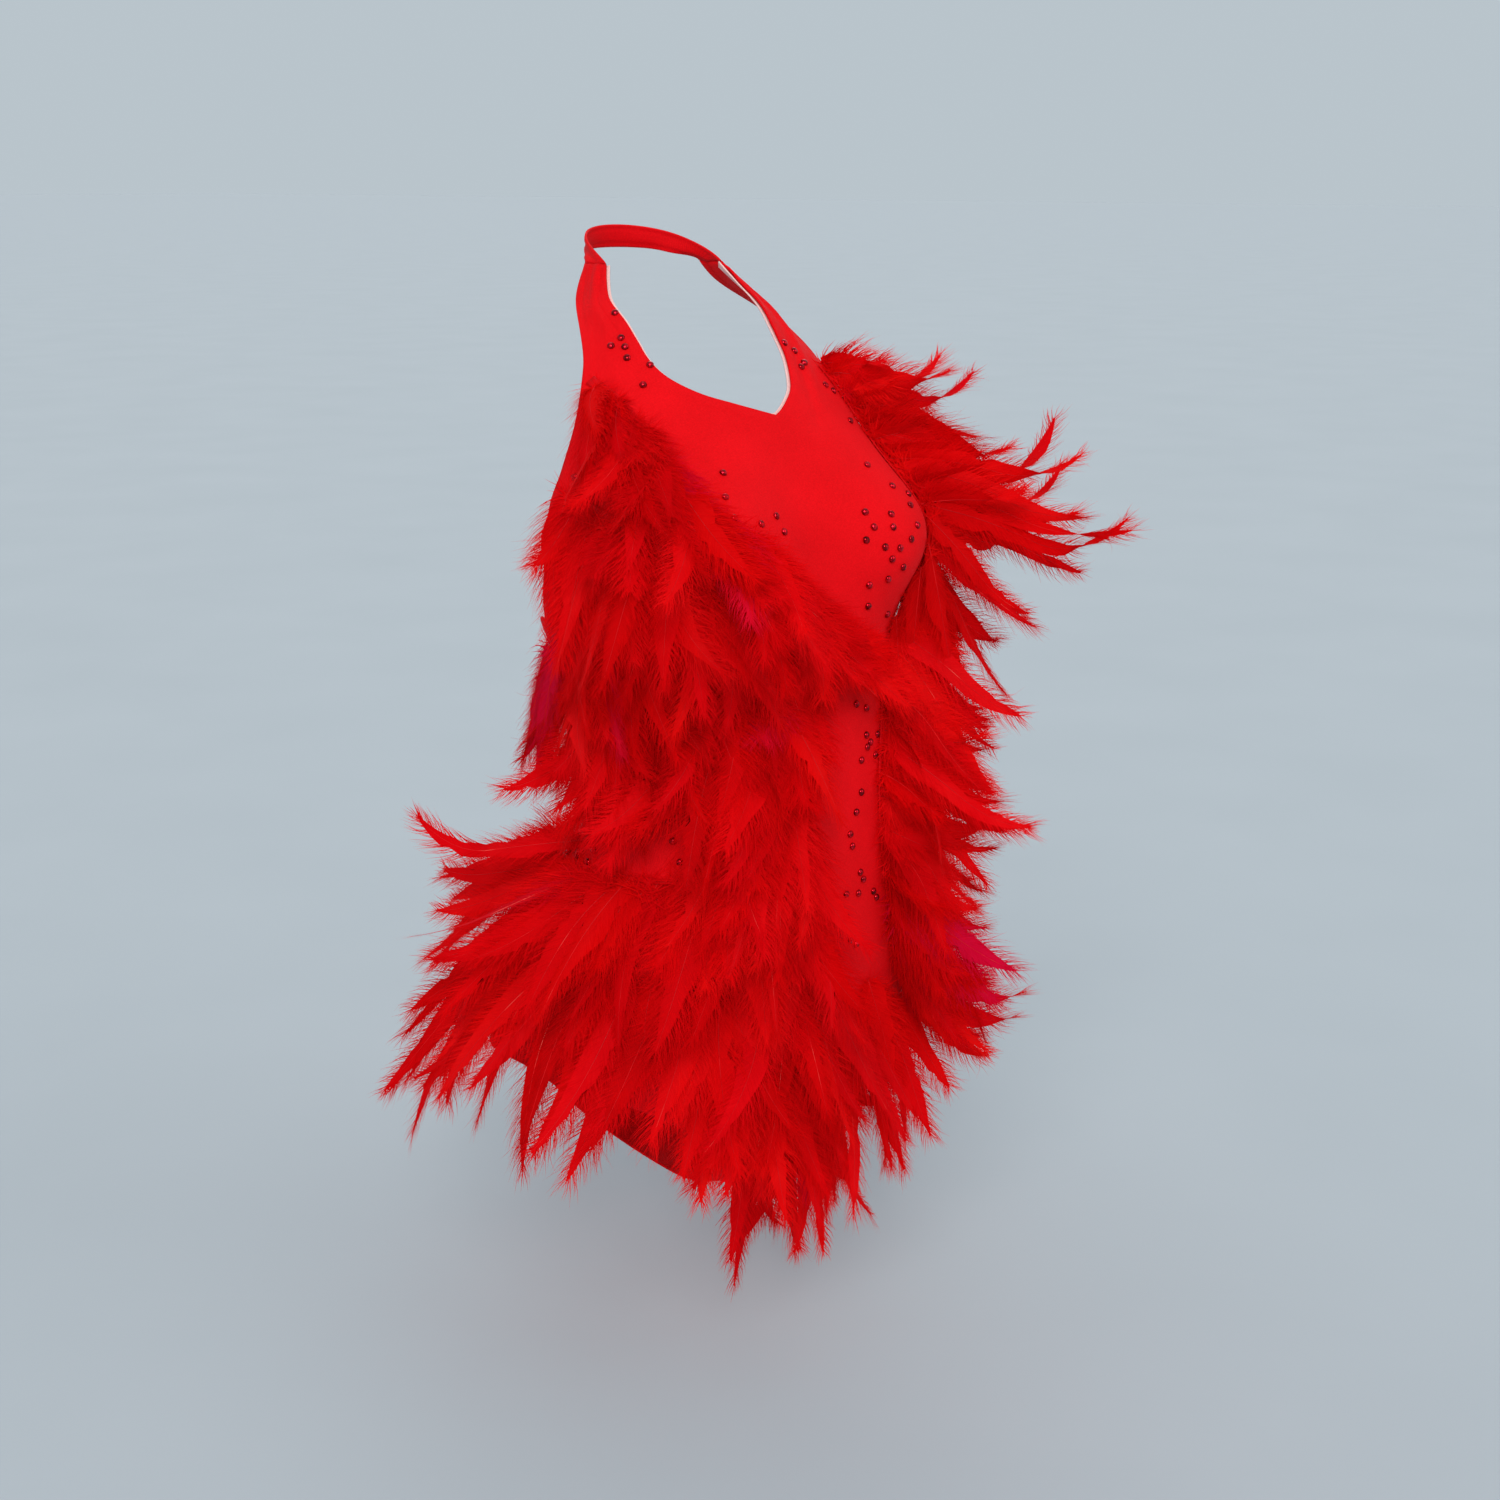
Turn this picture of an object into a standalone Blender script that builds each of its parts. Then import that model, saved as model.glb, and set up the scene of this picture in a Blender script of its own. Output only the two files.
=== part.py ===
"""Feather dance leotard, worn shape, hollow: a halter-neck stretch leotard with a low back,
trimmed with tapes of feathers. Metres, +Z up. The wearer faces -Y and the wearer's left is +X.
The origin is the centre of the neck at the height of the halter band."""

import math
import random

import bmesh
import bpy
from mathutils import Vector
from mathutils.bvhtree import BVHTree

# Driving dimensions, in metres and degrees
CLOTH_THICKNESS = 0.0015
FACING_THICKNESS = 0.0010
SEAM_GAP = 0.0003
CUP_ANGLE = 36.0
CUP_HEIGHT = -0.182
CUP_DEPTH = 0.036
CUP_WIDTH_ANGLE = 23.0
CUP_WIDTH_HEIGHT = 0.048
CELLS_PER_HALF_FRONT = 9
CELLS_PER_HALF_BACK = 8
STRAP_TOP = -0.012
UNDERARM = -0.235
SIDE_LEG = -0.510
SIDE_SEAM_ANGLE = 103.0
CUSP_ANGLE = 4.0
CUSP_HEIGHT = -0.105
CUSP_FADE = 0.09
CROTCH_Y = -0.052
CROTCH_Z = -0.655
CROTCH_EDGE_Z = -0.648
CROTCH_HALF_WIDTH = 0.036
CROTCH_ROWS = 6
BAND_SECTIONS = 22
BAND_CELLS = 3
BAND_UPPER_RISE = 0.021
BAND_LOWER_RISE = -0.002
BAND_RISE_POWER = 0.8
FACING_INSIDE = 0.0045
FACING_LIP = 0.0008
FACING_GAP = 0.00045
FACING_CUSP_DROP = 0.01
TAPE_WIDTH = 0.007
TAPE_THICKNESS = 0.0016
TAPE_GAP = 0.0005
LOCK_ROOT = 0.006
LOCK_THICKNESS = 0.0022
LOCK_CLEARANCE = 0.0004
LOCK_CLOTH_CLEARANCE = 0.0040
LOCK_RISE_PER_RUN = 0.3
LOCK_STEPS = 12
LOCK_RINGS = (2, 5, 8, 10)
LOCK_OUTLINE = (0.62, 1.0, 0.92, 0.62)
LOCK_LEAST_LIFT = 6.0
LOCK_HEADING_SPREAD = 7.0
LOCK_LENGTH_SPREAD = (0.85, 1.08)
LOCK_LIFT_STEPS = (0, 5, -3, 9)
ROOT_SHARE = 0.15
PROBE_ANGLE = 1.0
PROBE_HEIGHT = 0.002
RAY_START = 0.03
RAY_LENGTH = 0.05
SAMPLES_PER_ROW = 12
SEED = 11


def table(columns, *rows):
    return [dict(zip(columns.split(), row)) for row in rows]


# Sections of a general figure: half width, depth in front of and behind the section's centre,
# the centre's y, and how square the section is (2 is an ellipse)
FIGURE = table(
    "z half_width front back centre_y square",
    (0.060, 0.040, 0.043, 0.043, -0.006, 2.0),
    (0.000, 0.044, 0.048, 0.046, 0.000, 2.0),
    (-0.023, 0.056, 0.058, 0.054, 0.000, 2.0),
    (-0.047, 0.082, 0.072, 0.068, -0.004, 2.1),
    (-0.075, 0.108, 0.086, 0.082, -0.010, 2.2),
    (-0.112, 0.122, 0.100, 0.092, -0.022, 2.3),
    (-0.158, 0.127, 0.110, 0.098, -0.036, 2.3),
    (-0.195, 0.125, 0.110, 0.098, -0.047, 2.3),
    (-0.242, 0.119, 0.102, 0.092, -0.064, 2.3),
    (-0.298, 0.113, 0.094, 0.086, -0.080, 2.2),
    (-0.344, 0.112, 0.090, 0.084, -0.088, 2.2),
    (-0.391, 0.122, 0.094, 0.092, -0.086, 2.2),
    (-0.446, 0.142, 0.100, 0.108, -0.078, 2.3),
    (-0.502, 0.158, 0.103, 0.120, -0.068, 2.3),
    (-0.549, 0.164, 0.100, 0.120, -0.060, 2.4),
    (-0.595, 0.160, 0.088, 0.108, -0.052, 2.4),
    (-0.640, 0.158, 0.078, 0.095, -0.052, 2.4),
)

# Edges of the front panel, as angles round the figure: the armhole, the neckline on each side
ARMHOLE = table(
    "z angle",
    (-0.012, 101), (-0.025, 94), (-0.045, 77), (-0.060, 69), (-0.075, 66), (-0.105, 68),
    (-0.135, 74), (-0.155, 80), (-0.190, 88), (-0.220, 98), (-0.235, 103),
)
NECKLINE = table(
    "z right left",
    (-0.012, 75, 72), (-0.022, 70, 60), (-0.032, 64, 50), (-0.045, 53, 38), (-0.057, 47, 32),
    (-0.070, 42, 28), (-0.080, 36, 24), (-0.090, 25, 19), (-0.097, 12, 13), (-0.102, 2, 8),
    (-0.105, -4, 4),
)
FRONT_LEG = table(
    "z angle",
    (-0.510, 103), (-0.518, 90), (-0.527, 79), (-0.536, 68), (-0.546, 59), (-0.556, 53),
    (-0.565, 48),
)
BACK_LEG = table(
    "z angle",
    (-0.510, 103), (-0.530, 112), (-0.550, 121), (-0.570, 130), (-0.590, 139), (-0.610, 147),
)
BACK_SCOOP = table(
    "z angle",
    (-0.235, 108), (-0.243, 116), (-0.255, 124), (-0.270, 131), (-0.290, 139), (-0.312, 149),
    (-0.332, 160), (-0.345, 170), (-0.350, 180),
)
FRONT_ROWS = (
    -0.012, -0.022, -0.032, -0.042, -0.052, -0.062, -0.071, -0.080, -0.087, -0.093, -0.098,
    -0.102, -0.105, -0.114, -0.126, -0.139, -0.152, -0.164, -0.176, -0.188, -0.200, -0.212,
    -0.224, -0.235, -0.248, -0.263, -0.280, -0.300, -0.322, -0.344, -0.366, -0.389, -0.414,
    -0.440, -0.465, -0.488, -0.510, -0.518, -0.527, -0.536, -0.546, -0.556, -0.565,
)
BACK_ROWS = (
    -0.235, -0.243, -0.255, -0.270, -0.290, -0.312, -0.332, -0.345, -0.350, -0.370, -0.392,
    -0.416, -0.440, -0.465, -0.488, -0.510, -0.530, -0.550, -0.570, -0.590, -0.610,
)

# Feather trims. Each row is a point of the tape: angle round the figure and height, then the
# feathers there: heading (0 is down, plus turns to the wearer's left), length, lift off the
# cloth, droop (how far the feather bends down along its length), hook (how far its outer half
# turns up again) and half width
TRIM_COLUMNS = "angle z heading length lift droop hook half_width"
TRIMS = {
    "trim_front_point": (7, table(
        TRIM_COLUMNS,
        (18, -0.548, 6, 0.105, 20, 0.5, 0.2, 0.009),
        (3, -0.562, 0, 0.135, 22, 0.5, 0.4, 0.010),
        (-12, -0.562, -6, 0.140, 20, 0.5, 0.1, 0.010),
        (-30, -0.550, -8, 0.110, 20, 0.5, 0.2, 0.009),
    )),
    "trim_front_low": (11, table(
        TRIM_COLUMNS,
        (36, -0.508, 12, 0.105, 22, 0.4, 0.3, 0.010),
        (14, -0.512, 4, 0.125, 24, 0.4, 0.2, 0.010),
        (-8, -0.518, -2, 0.125, 24, 0.4, 0.2, 0.010),
        (-28, -0.512, -6, 0.105, 24, 0.4, 0.2, 0.010),
        (-44, -0.500, -10, 0.095, 26, 0.4, 0.2, 0.010),
    )),
    "trim_hip_lower": (37, table(
        TRIM_COLUMNS,
        (0, -0.466, 2, 0.120, 20, 0.3, 0.1, 0.011),
        (-28, -0.460, -6, 0.120, 22, 0.4, 0.1, 0.011),
        (-60, -0.450, -10, 0.130, 20, 0.4, 0.2, 0.011),
        (-90, -0.450, -10, 0.145, 22, 0.5, 0.2, 0.011),
        (-125, -0.456, -8, 0.160, 25, 0.8, 0.2, 0.011),
        (-155, -0.464, -4, 0.140, 26, 0.6, 0.2, 0.011),
        (-180, -0.468, 0, 0.125, 28, 0.4, 0.2, 0.011),
        (-208, -0.462, 6, 0.120, 28, 0.4, 0.2, 0.011),
        (-240, -0.454, 12, 0.115, 26, 0.4, 0.3, 0.011),
        (-275, -0.452, 16, 0.110, 26, 0.5, 0.6, 0.011),
        (-305, -0.458, 14, 0.108, 30, 0.5, 0.6, 0.011),
    )),
    "trim_hip_upper": (31, table(
        TRIM_COLUMNS,
        (-6, -0.408, 0, 0.110, 18, 0.3, 0.1, 0.011),
        (-20, -0.405, -2, 0.115, 18, 0.3, 0.1, 0.011),
        (-36, -0.400, -8, 0.115, 18, 0.3, 0.1, 0.011),
        (-58, -0.394, -16, 0.120, 20, 0.3, 0.1, 0.011),
        (-85, -0.394, -26, 0.125, 28, 0.3, 0.2, 0.011),
        (-115, -0.398, -26, 0.130, 36, 0.4, 0.3, 0.011),
        (-150, -0.405, -8, 0.115, 30, 0.3, 0.2, 0.011),
        (-180, -0.408, 0, 0.110, 28, 0.3, 0.2, 0.011),
        (-210, -0.405, 8, 0.105, 28, 0.3, 0.2, 0.011),
        (-245, -0.400, 12, 0.100, 26, 0.4, 0.3, 0.011),
        (-280, -0.400, 16, 0.095, 26, 0.5, 0.6, 0.011),
        (-302, -0.402, 16, 0.090, 28, 0.5, 0.6, 0.011),
    )),
    "trim_midriff": (8, table(
        TRIM_COLUMNS,
        (-13, -0.350, -6, 0.100, 16, 0.3, 0.1, 0.010),
        (-20, -0.354, -8, 0.105, 16, 0.3, 0.1, 0.010),
        (-30, -0.352, -14, 0.100, 16, 0.3, 0.1, 0.010),
        (-43, -0.343, -18, 0.090, 16, 0.3, 0.1, 0.010),
    )),
    "trim_waist": (12, table(
        TRIM_COLUMNS,
        (-15, -0.302, -8, 0.100, 14, 0.3, 0.1, 0.010),
        (-26, -0.300, -16, 0.105, 14, 0.3, 0.1, 0.010),
        (-43, -0.298, -26, 0.095, 14, 0.2, 0.1, 0.010),
        (-63, -0.296, -32, 0.085, 14, 0.2, 0.1, 0.010),
        (-86, -0.294, -34, 0.080, 16, 0.2, 0.2, 0.010),
    )),
    "trim_rib": (15, table(
        TRIM_COLUMNS,
        (-16, -0.275, -2, 0.085, 14, 0.4, 0.1, 0.010),
        (-30, -0.269, -3, 0.092, 14, 0.4, 0.1, 0.010),
        (-50, -0.261, -8, 0.100, 16, 0.4, 0.1, 0.010),
        (-76, -0.255, -14, 0.094, 16, 0.4, 0.2, 0.010),
        (-98, -0.256, -18, 0.080, 18, 0.4, 0.2, 0.010),
        (-118, -0.264, -14, 0.066, 20, 0.4, 0.2, 0.010),
    )),
    "trim_side_bust": (11, table(
        TRIM_COLUMNS,
        (-14, -0.246, 12, 0.085, 12, 0.4, 0.1, 0.010),
        (-24, -0.237, 6, 0.095, 12, 0.4, 0.1, 0.010),
        (-38, -0.226, 0, 0.100, 12, 0.4, 0.1, 0.010),
        (-58, -0.212, -8, 0.105, 14, 0.4, 0.1, 0.010),
        (-80, -0.202, -10, 0.092, 14, 0.4, 0.2, 0.010),
    )),
    "trim_breast": (10, table(
        TRIM_COLUMNS,
        (-20, -0.216, 12, 0.085, 12, 0.4, 0.1, 0.009),
        (-30, -0.199, 8, 0.090, 12, 0.4, 0.1, 0.010),
        (-42, -0.182, 0, 0.100, 12, 0.4, 0.1, 0.010),
        (-56, -0.164, -8, 0.100, 14, 0.4, 0.1, 0.010),
        (-72, -0.149, -8, 0.092, 13, 0.4, 0.1, 0.010),
    )),
    "trim_bust": (16, table(
        TRIM_COLUMNS,
        (13, -0.243, 54, 0.078, 10, 0.2, 0.2, 0.009),
        (2, -0.237, 40, 0.085, 10, 0.3, 0.2, 0.009),
        (-9, -0.213, 24, 0.090, 10, 0.3, 0.2, 0.010),
        (-17, -0.188, 14, 0.095, 12, 0.4, 0.1, 0.010),
        (-27, -0.169, 8, 0.095, 12, 0.4, 0.1, 0.010),
        (-37, -0.147, -2, 0.095, 12, 0.4, 0.1, 0.010),
        (-45, -0.119, -6, 0.100, 12, 0.4, 0.1, 0.010),
        (-54, -0.094, -8, 0.100, 12, 0.4, 0.1, 0.009),
        (-63, -0.081, -8, 0.092, 12, 0.4, 0.1, 0.009),
    )),
    "trim_left_upper": (15, table(
        TRIM_COLUMNS,
        (50, -0.080, 50, 0.105, 32, 0.5, 0.9, 0.009),
        (54, -0.105, 46, 0.115, 34, 0.6, 1.0, 0.010),
        (50, -0.135, 40, 0.120, 40, 0.6, 1.0, 0.010),
        (47, -0.160, 34, 0.180, 50, 0.6, 1.5, 0.010),
        (45, -0.195, 44, 0.130, 44, 0.5, 1.0, 0.010),
        (45, -0.232, 44, 0.125, 38, 0.5, 0.9, 0.010),
    )),
    "trim_left_lower": (21, table(
        TRIM_COLUMNS,
        (44, -0.250, 46, 0.120, 36, 0.8, 0.9, 0.010),
        (40, -0.285, 44, 0.115, 36, 0.8, 1.0, 0.010),
        (37, -0.322, 44, 0.120, 38, 0.7, 1.1, 0.010),
        (34, -0.360, 40, 0.100, 34, 0.7, 1.0, 0.010),
        (34, -0.400, 36, 0.090, 32, 0.6, 0.8, 0.010),
        (36, -0.440, 36, 0.092, 30, 0.5, 0.7, 0.010),
        (39, -0.470, 32, 0.092, 30, 0.4, 0.6, 0.010),
        (45, -0.493, 26, 0.095, 28, 0.3, 0.5, 0.010),
    )),
    "trim_left_flank": (17, table(
        TRIM_COLUMNS,
        (74, -0.150, 56, 0.100, 34, 0.5, 0.7, 0.010),
        (76, -0.190, 52, 0.105, 34, 0.5, 0.7, 0.010),
        (78, -0.240, 48, 0.105, 34, 0.5, 0.7, 0.010),
        (76, -0.290, 44, 0.105, 34, 0.5, 0.7, 0.010),
        (72, -0.335, 42, 0.105, 34, 0.5, 0.7, 0.010),
        (70, -0.372, 40, 0.098, 34, 0.4, 0.6, 0.010),
    )),
}

# What a feather tries, in turn, where its first place is taken: added lift, added heading
# and a share of its width
TRIES = table(
    "lift heading width",
    (0, 0, 1.0), (6, 0, 1.0), (12, 0, 1.0), (6, 8, 0.9), (6, -8, 0.9), (18, 0, 0.9),
    (12, 10, 0.8), (12, -10, 0.8), (24, 0, 0.8), (-5, 0, 0.7), (18, 12, 0.7), (18, -12, 0.7),
    (30, 0, 0.6), (36, 8, 0.5), (36, -8, 0.5),
)

# Finishes: base colour, roughness, metallic
RED_CLOTH = ((0.70, 0.004, 0.012, 1.0), 0.55, 0.0)
PALE_TAPE = ((0.85, 0.52, 0.48, 1.0), 0.60, 0.0)
RED_FEATHER = ((0.66, 0.002, 0.008, 1.0), 0.80, 0.0)


def between(rows, place, column, value):
    """A smooth curve through the rows' column, read at a value of their place column, which
    runs down or up along the table."""
    places = [row[place] for row in rows]
    values = [row[column] for row in rows]
    way = 1 if places[-1] > places[0] else -1
    value = max(min(value, max(places)), min(places))
    index = sum(1 for reached in places[1:-1] if (value - reached) * way > 0)
    span = places[index + 1] - places[index]
    share = (value - places[index]) / span

    def slope(at):
        low, high = max(at - 1, 0), min(at + 1, len(rows) - 1)
        return (values[high] - values[low]) / (places[high] - places[low])

    square, cube = share * share, share ** 3
    return (
        (2 * cube - 3 * square + 1) * values[index]
        + (cube - 2 * square + share) * span * slope(index)
        + (3 * square - 2 * cube) * values[index + 1]
        + (cube - square) * span * slope(index + 1)
    )


def radius(angle, z):
    """Distance from the figure's centre line to its surface."""
    across = math.sin(math.radians(angle))
    ahead = math.cos(math.radians(angle))
    depth = between(FIGURE, "z", "front" if ahead > 0 else "back", z)
    power = between(FIGURE, "z", "square", z)
    width = between(FIGURE, "z", "half_width", z)
    section = (abs(across / width) ** power + abs(ahead / depth) ** power) ** (-1 / power)
    for side in (-1, 1):
        turn = ((angle - side * CUP_ANGLE + 180) % 360 - 180) / CUP_WIDTH_ANGLE
        rise = (z - CUP_HEIGHT) / CUP_WIDTH_HEIGHT
        section += CUP_DEPTH * math.exp(-turn * turn - rise * rise)
    return section


def figure(angle, z):
    """The point of the figure at an angle (0 is the front, plus is the wearer's left)."""
    reach = radius(angle, z)
    across = math.sin(math.radians(angle))
    ahead = math.cos(math.radians(angle))
    return Vector((reach * across, between(FIGURE, "z", "centre_y", z) - reach * ahead, z))


def frame_at(angle, z):
    """Point, unit vector to the wearer's left, unit vector down the cloth, and normal."""
    left = (figure(angle + PROBE_ANGLE, z) - figure(angle - PROBE_ANGLE, z)).normalized()
    down = (figure(angle, z - PROBE_HEIGHT) - figure(angle, z + PROBE_HEIGHT)).normalized()
    normal = down.cross(left).normalized()
    return figure(angle, z), left, down, normal


def clearance(point):
    """How far a point lies outside the figure, and the way out."""
    centre = Vector((0, between(FIGURE, "z", "centre_y", point.z), point.z))
    out = point - centre
    angle = math.degrees(math.atan2(out.x, -out.y))
    return out.length - radius(angle, point.z), out.normalized()


def finish(name, base, rough, metal):
    material = bpy.data.materials.new(name)
    material.use_nodes = True
    shader = material.node_tree.nodes["Principled BSDF"]
    shader.inputs["Base Color"].default_value = base
    shader.inputs["Roughness"].default_value = rough
    shader.inputs["Metallic"].default_value = metal
    return material


def add_object(name, mesh_builder, looks):
    mesh = bpy.data.meshes.new(name)
    mesh_builder.to_mesh(mesh)
    mesh_builder.free()
    obj = bpy.data.objects.new(name, mesh)
    obj.data.materials.append(finish(name, *looks))
    obj.data.shade_smooth()
    bpy.data.collections["feather_dance_leotard"].objects.link(obj)
    return obj


def face_outward(builder):
    """Turns an open sheet so that its faces look away from the figure."""
    builder.normal_update()
    outward = 0.0
    for face in builder.faces:
        middle = face.calc_center_median()
        outward += face.normal.dot(middle - Vector((0, CROTCH_Y, middle.z)))
    if outward < 0:
        bmesh.ops.reverse_faces(builder, faces=builder.faces[:])


def thicken(obj, thickness, side):
    wall = obj.modifiers.new("wall", "SOLIDIFY")
    wall.thickness = thickness
    wall.offset = side
    wall.use_rim = True


def spread(first, last, cells):
    return [first + (last - first) * step / cells for step in range(cells + 1)]


def gap_angle(z):
    """Half a seam gap, as an angle at the side seam."""
    return math.degrees(SEAM_GAP / 2 / radius(SIDE_SEAM_ANGLE, z))


def front_edges(z):
    """The front panel's edges on one row: right outer, right inner, left inner, left outer."""
    if z > UNDERARM:
        outer = between(ARMHOLE, "z", "angle", z)
    elif z > SIDE_LEG:
        outer = SIDE_SEAM_ANGLE
    else:
        outer = between(FRONT_LEG, "z", "angle", z)
    outer = min(outer, SIDE_SEAM_ANGLE - gap_angle(z))
    if z > CUSP_HEIGHT:
        right, left = (between(NECKLINE, "z", side, z) for side in ("right", "left"))
        return -outer, -right, left, outer
    centre = CUSP_ANGLE * max(0.0, 1 - (CUSP_HEIGHT - z) / CUSP_FADE)
    return -outer, centre, centre, outer


def back_edges(z):
    """The back panel's edges on one row, in the same order, meeting at the centre back."""
    outer = SIDE_SEAM_ANGLE if z > SIDE_LEG else between(BACK_LEG, "z", "angle", z)
    outer = max(outer, SIDE_SEAM_ANGLE + gap_angle(z))
    inner = between(BACK_SCOOP, "z", "angle", z) if z > BACK_SCOOP[-1]["z"] else 180.0
    return -outer, -inner, inner, outer


def under_row(row, turn, seam_y):
    """The last row on the torso, carried round under the crotch by a turn of 0 to 90."""
    middle = row[len(row) // 2]
    edge = row[0]
    along, drop = math.cos(math.radians(turn)), math.sin(math.radians(turn))
    points = []
    for point in row:
        side = (point.y - middle.y) / (edge.y - middle.y)
        narrow = 1 + (CROTCH_HALF_WIDTH / abs(edge.x) - 1) * drop
        y_middle = seam_y + (middle.y - seam_y) * along
        y_edge = seam_y + (edge.y - seam_y) * along
        z_middle = middle.z + (CROTCH_Z - middle.z) * drop
        z_edge = edge.z + (CROTCH_EDGE_Z - edge.z) * drop
        points.append(Vector((
            point.x * narrow,
            y_middle + side * (y_edge - y_middle),
            z_middle + side * (z_edge - z_middle),
        )))
    return points


def panel(name, heights, edges, cells, seam_y):
    """A cloth panel from rows of points: open rows are two straps, closed rows are one."""
    builder = bmesh.new()
    rows = []
    for z in heights:
        right_outer, right_inner, left_inner, left_outer = edges(z)
        closed = abs(math.sin(math.radians(left_inner - right_inner) / 2)) < 1e-6
        right = [figure(angle, z) for angle in spread(right_outer, right_inner, cells)]
        left = [figure(angle, z) for angle in spread(left_inner, left_outer, cells)]
        rows.append((right, left, closed))
    whole = rows[-1][0] + rows[-1][1][1:]
    for step in range(1, CROTCH_ROWS + 1):
        under = under_row(whole, 90 * step / CROTCH_ROWS, seam_y)
        rows.append((under[:cells + 1], under[cells:], True))
    verts = []
    for right, left, closed in rows:
        right = [builder.verts.new(point) for point in right]
        left = [builder.verts.new(point) for point in left[1 if closed else 0:]]
        verts.append((right, ([right[-1]] if closed else []) + left))
    for upper, lower in zip(verts, verts[1:]):
        for side in (0, 1):
            for column in range(cells):
                builder.faces.new((
                    upper[side][column], lower[side][column],
                    lower[side][column + 1], upper[side][column + 1],
                ))
    face_outward(builder)
    obj = add_object(name, builder, RED_CLOTH)
    thicken(obj, CLOTH_THICKNESS, 1)
    return rows


def neck_band():
    """The halter strap round the back of the neck, between the tops of the two straps."""
    right_outer, right_inner, left_inner, left_outer = front_edges(STRAP_TOP)
    builder = bmesh.new()
    sections = []
    for step in range(BAND_SECTIONS + 1):
        share = step / BAND_SECTIONS
        rise = math.sin(math.pi * share)
        low_angle = right_outer + (left_outer - 360 - right_outer) * share
        high_angle = right_inner + (left_inner - 360 - right_inner) * share
        low_z = STRAP_TOP + SEAM_GAP + BAND_LOWER_RISE * rise
        high_z = STRAP_TOP + SEAM_GAP + BAND_UPPER_RISE * rise ** BAND_RISE_POWER
        angles = spread(low_angle, high_angle, BAND_CELLS)
        heights = spread(low_z, high_z, BAND_CELLS)
        sections.append([builder.verts.new(figure(*place)) for place in zip(angles, heights)])
    for one, two in zip(sections, sections[1:]):
        for cell in range(BAND_CELLS):
            builder.faces.new((one[cell], two[cell], two[cell + 1], one[cell + 1]))
    builder.normal_update()
    if sum(face.normal.dot(face.calc_center_median()) for face in builder.faces) < 0:
        bmesh.ops.reverse_faces(builder, faces=builder.faces[:])
    thicken(add_object("neck_band", builder, RED_CLOTH), CLOTH_THICKNESS, 1)


def neckline_facing(front_rows):
    """A pale tape inside the neckline, whose edge stands just past the cloth's edge."""
    open_rows = [row for row in front_rows if not row[2]]
    cusp = front_rows[len(open_rows)][0][-1]
    edge = [row[0][-1] for row in open_rows] + [cusp]
    edge += [row[1][0] for row in reversed(open_rows)]
    cloth = [row[0][-2] for row in open_rows] + [cusp + Vector((0, 0, -FACING_CUSP_DROP))]
    cloth += [row[1][1] for row in reversed(open_rows)]
    builder = bmesh.new()
    strips = []
    for index, point in enumerate(edge):
        before, after = edge[max(index - 1, 0)], edge[min(index + 1, len(edge) - 1)]
        along = (after - before).normalized()
        ahead = between(FIGURE, "z", "centre_y", point.z) - point.y
        normal = frame_at(math.degrees(math.atan2(point.x, ahead)), point.z)[3]
        inward = normal.cross(along).normalized()
        if inward.dot(cloth[index] - point) < 0:
            inward.negate()
        base = point - normal * FACING_GAP
        strips.append([
            builder.verts.new(base - inward * FACING_LIP),
            builder.verts.new(base + inward * FACING_INSIDE),
        ])
    for one, two in zip(strips, strips[1:]):
        builder.faces.new((one[0], one[1], two[1], two[0]))
    face_outward(builder)
    thicken(add_object("neckline_facing", builder, PALE_TAPE), FACING_THICKNESS, -1)


def spine(angle, z, heading, length, lift, droop, hook, start, side_way):
    """The middle line of a feather: places, width directions and outward directions."""
    _, left, down, normal = frame_at(angle, z)
    turn = math.radians(heading)
    tilt = math.radians(lift)
    way = (down * math.cos(turn) + left * math.sin(turn)) * math.cos(tilt)
    way += normal * math.sin(tilt)
    point = start.copy()
    step = length / LOCK_STEPS
    line = []
    for index in range(LOCK_STEPS):
        moved = point + way * step
        if moved.z > FIGURE[-1]["z"]:
            room, out = clearance(moved)
            rise = min(LOCK_CLOTH_CLEARANCE, LOCK_RISE_PER_RUN * (index + 1) * step)
            wanted = CLOTH_THICKNESS + TAPE_GAP + rise
            if room < wanted:
                moved += out * (wanted - room)
                way = (moved - point).normalized()
        else:
            out = normal
        point = moved
        outward = (out - way * out.dot(way)).normalized()
        across = outward.cross(way)
        if across.dot(side_way) < 0:
            across.negate()
        side_way = across
        line.append((point.copy(), across, outward))
        fall = droop / LOCK_STEPS
        if index >= LOCK_STEPS // 2:
            fall -= 2 * hook / LOCK_STEPS
        way = (way + Vector((0, 0, -1)) * fall).normalized()
    return line


def blade(line, half_width, thickness):
    """Rings of four corners along a feather's middle line, and its tip."""
    rings = []
    for step, share in zip(LOCK_RINGS, LOCK_OUTLINE):
        point, across, outward = line[step - 1]
        wide, deep = across * half_width * share, outward * thickness / 2
        rings.append([
            point - wide - deep, point + wide - deep, point + wide + deep, point - wide + deep,
        ])
    return rings, line[-1][0]


def blade_tree(root, rings, tip):
    """A search tree of one feather's faces, to find what it would cut."""
    corners = [corner for ring in [root] + rings for corner in ring] + [tip]
    faces = []
    for ring in range(len(rings)):
        for corner in range(4):
            low, next_low = ring * 4 + corner, ring * 4 + (corner + 1) % 4
            faces.append((low, next_low, next_low + 4, low + 4))
    last, point = len(rings) * 4, len(corners) - 1
    faces += [(last + corner, last + (corner + 1) % 4, point) for corner in range(4)]
    return BVHTree.FromPolygons(corners, faces)


def seat(cloth, point, normal):
    """The place on the cloth's outer face under a point."""
    for tree in cloth:
        hit, _, _, _ = tree.ray_cast(point + normal * RAY_START, -normal, RAY_LENGTH)
        if hit:
            return hit
    return point + normal * CLOTH_THICKNESS


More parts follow.
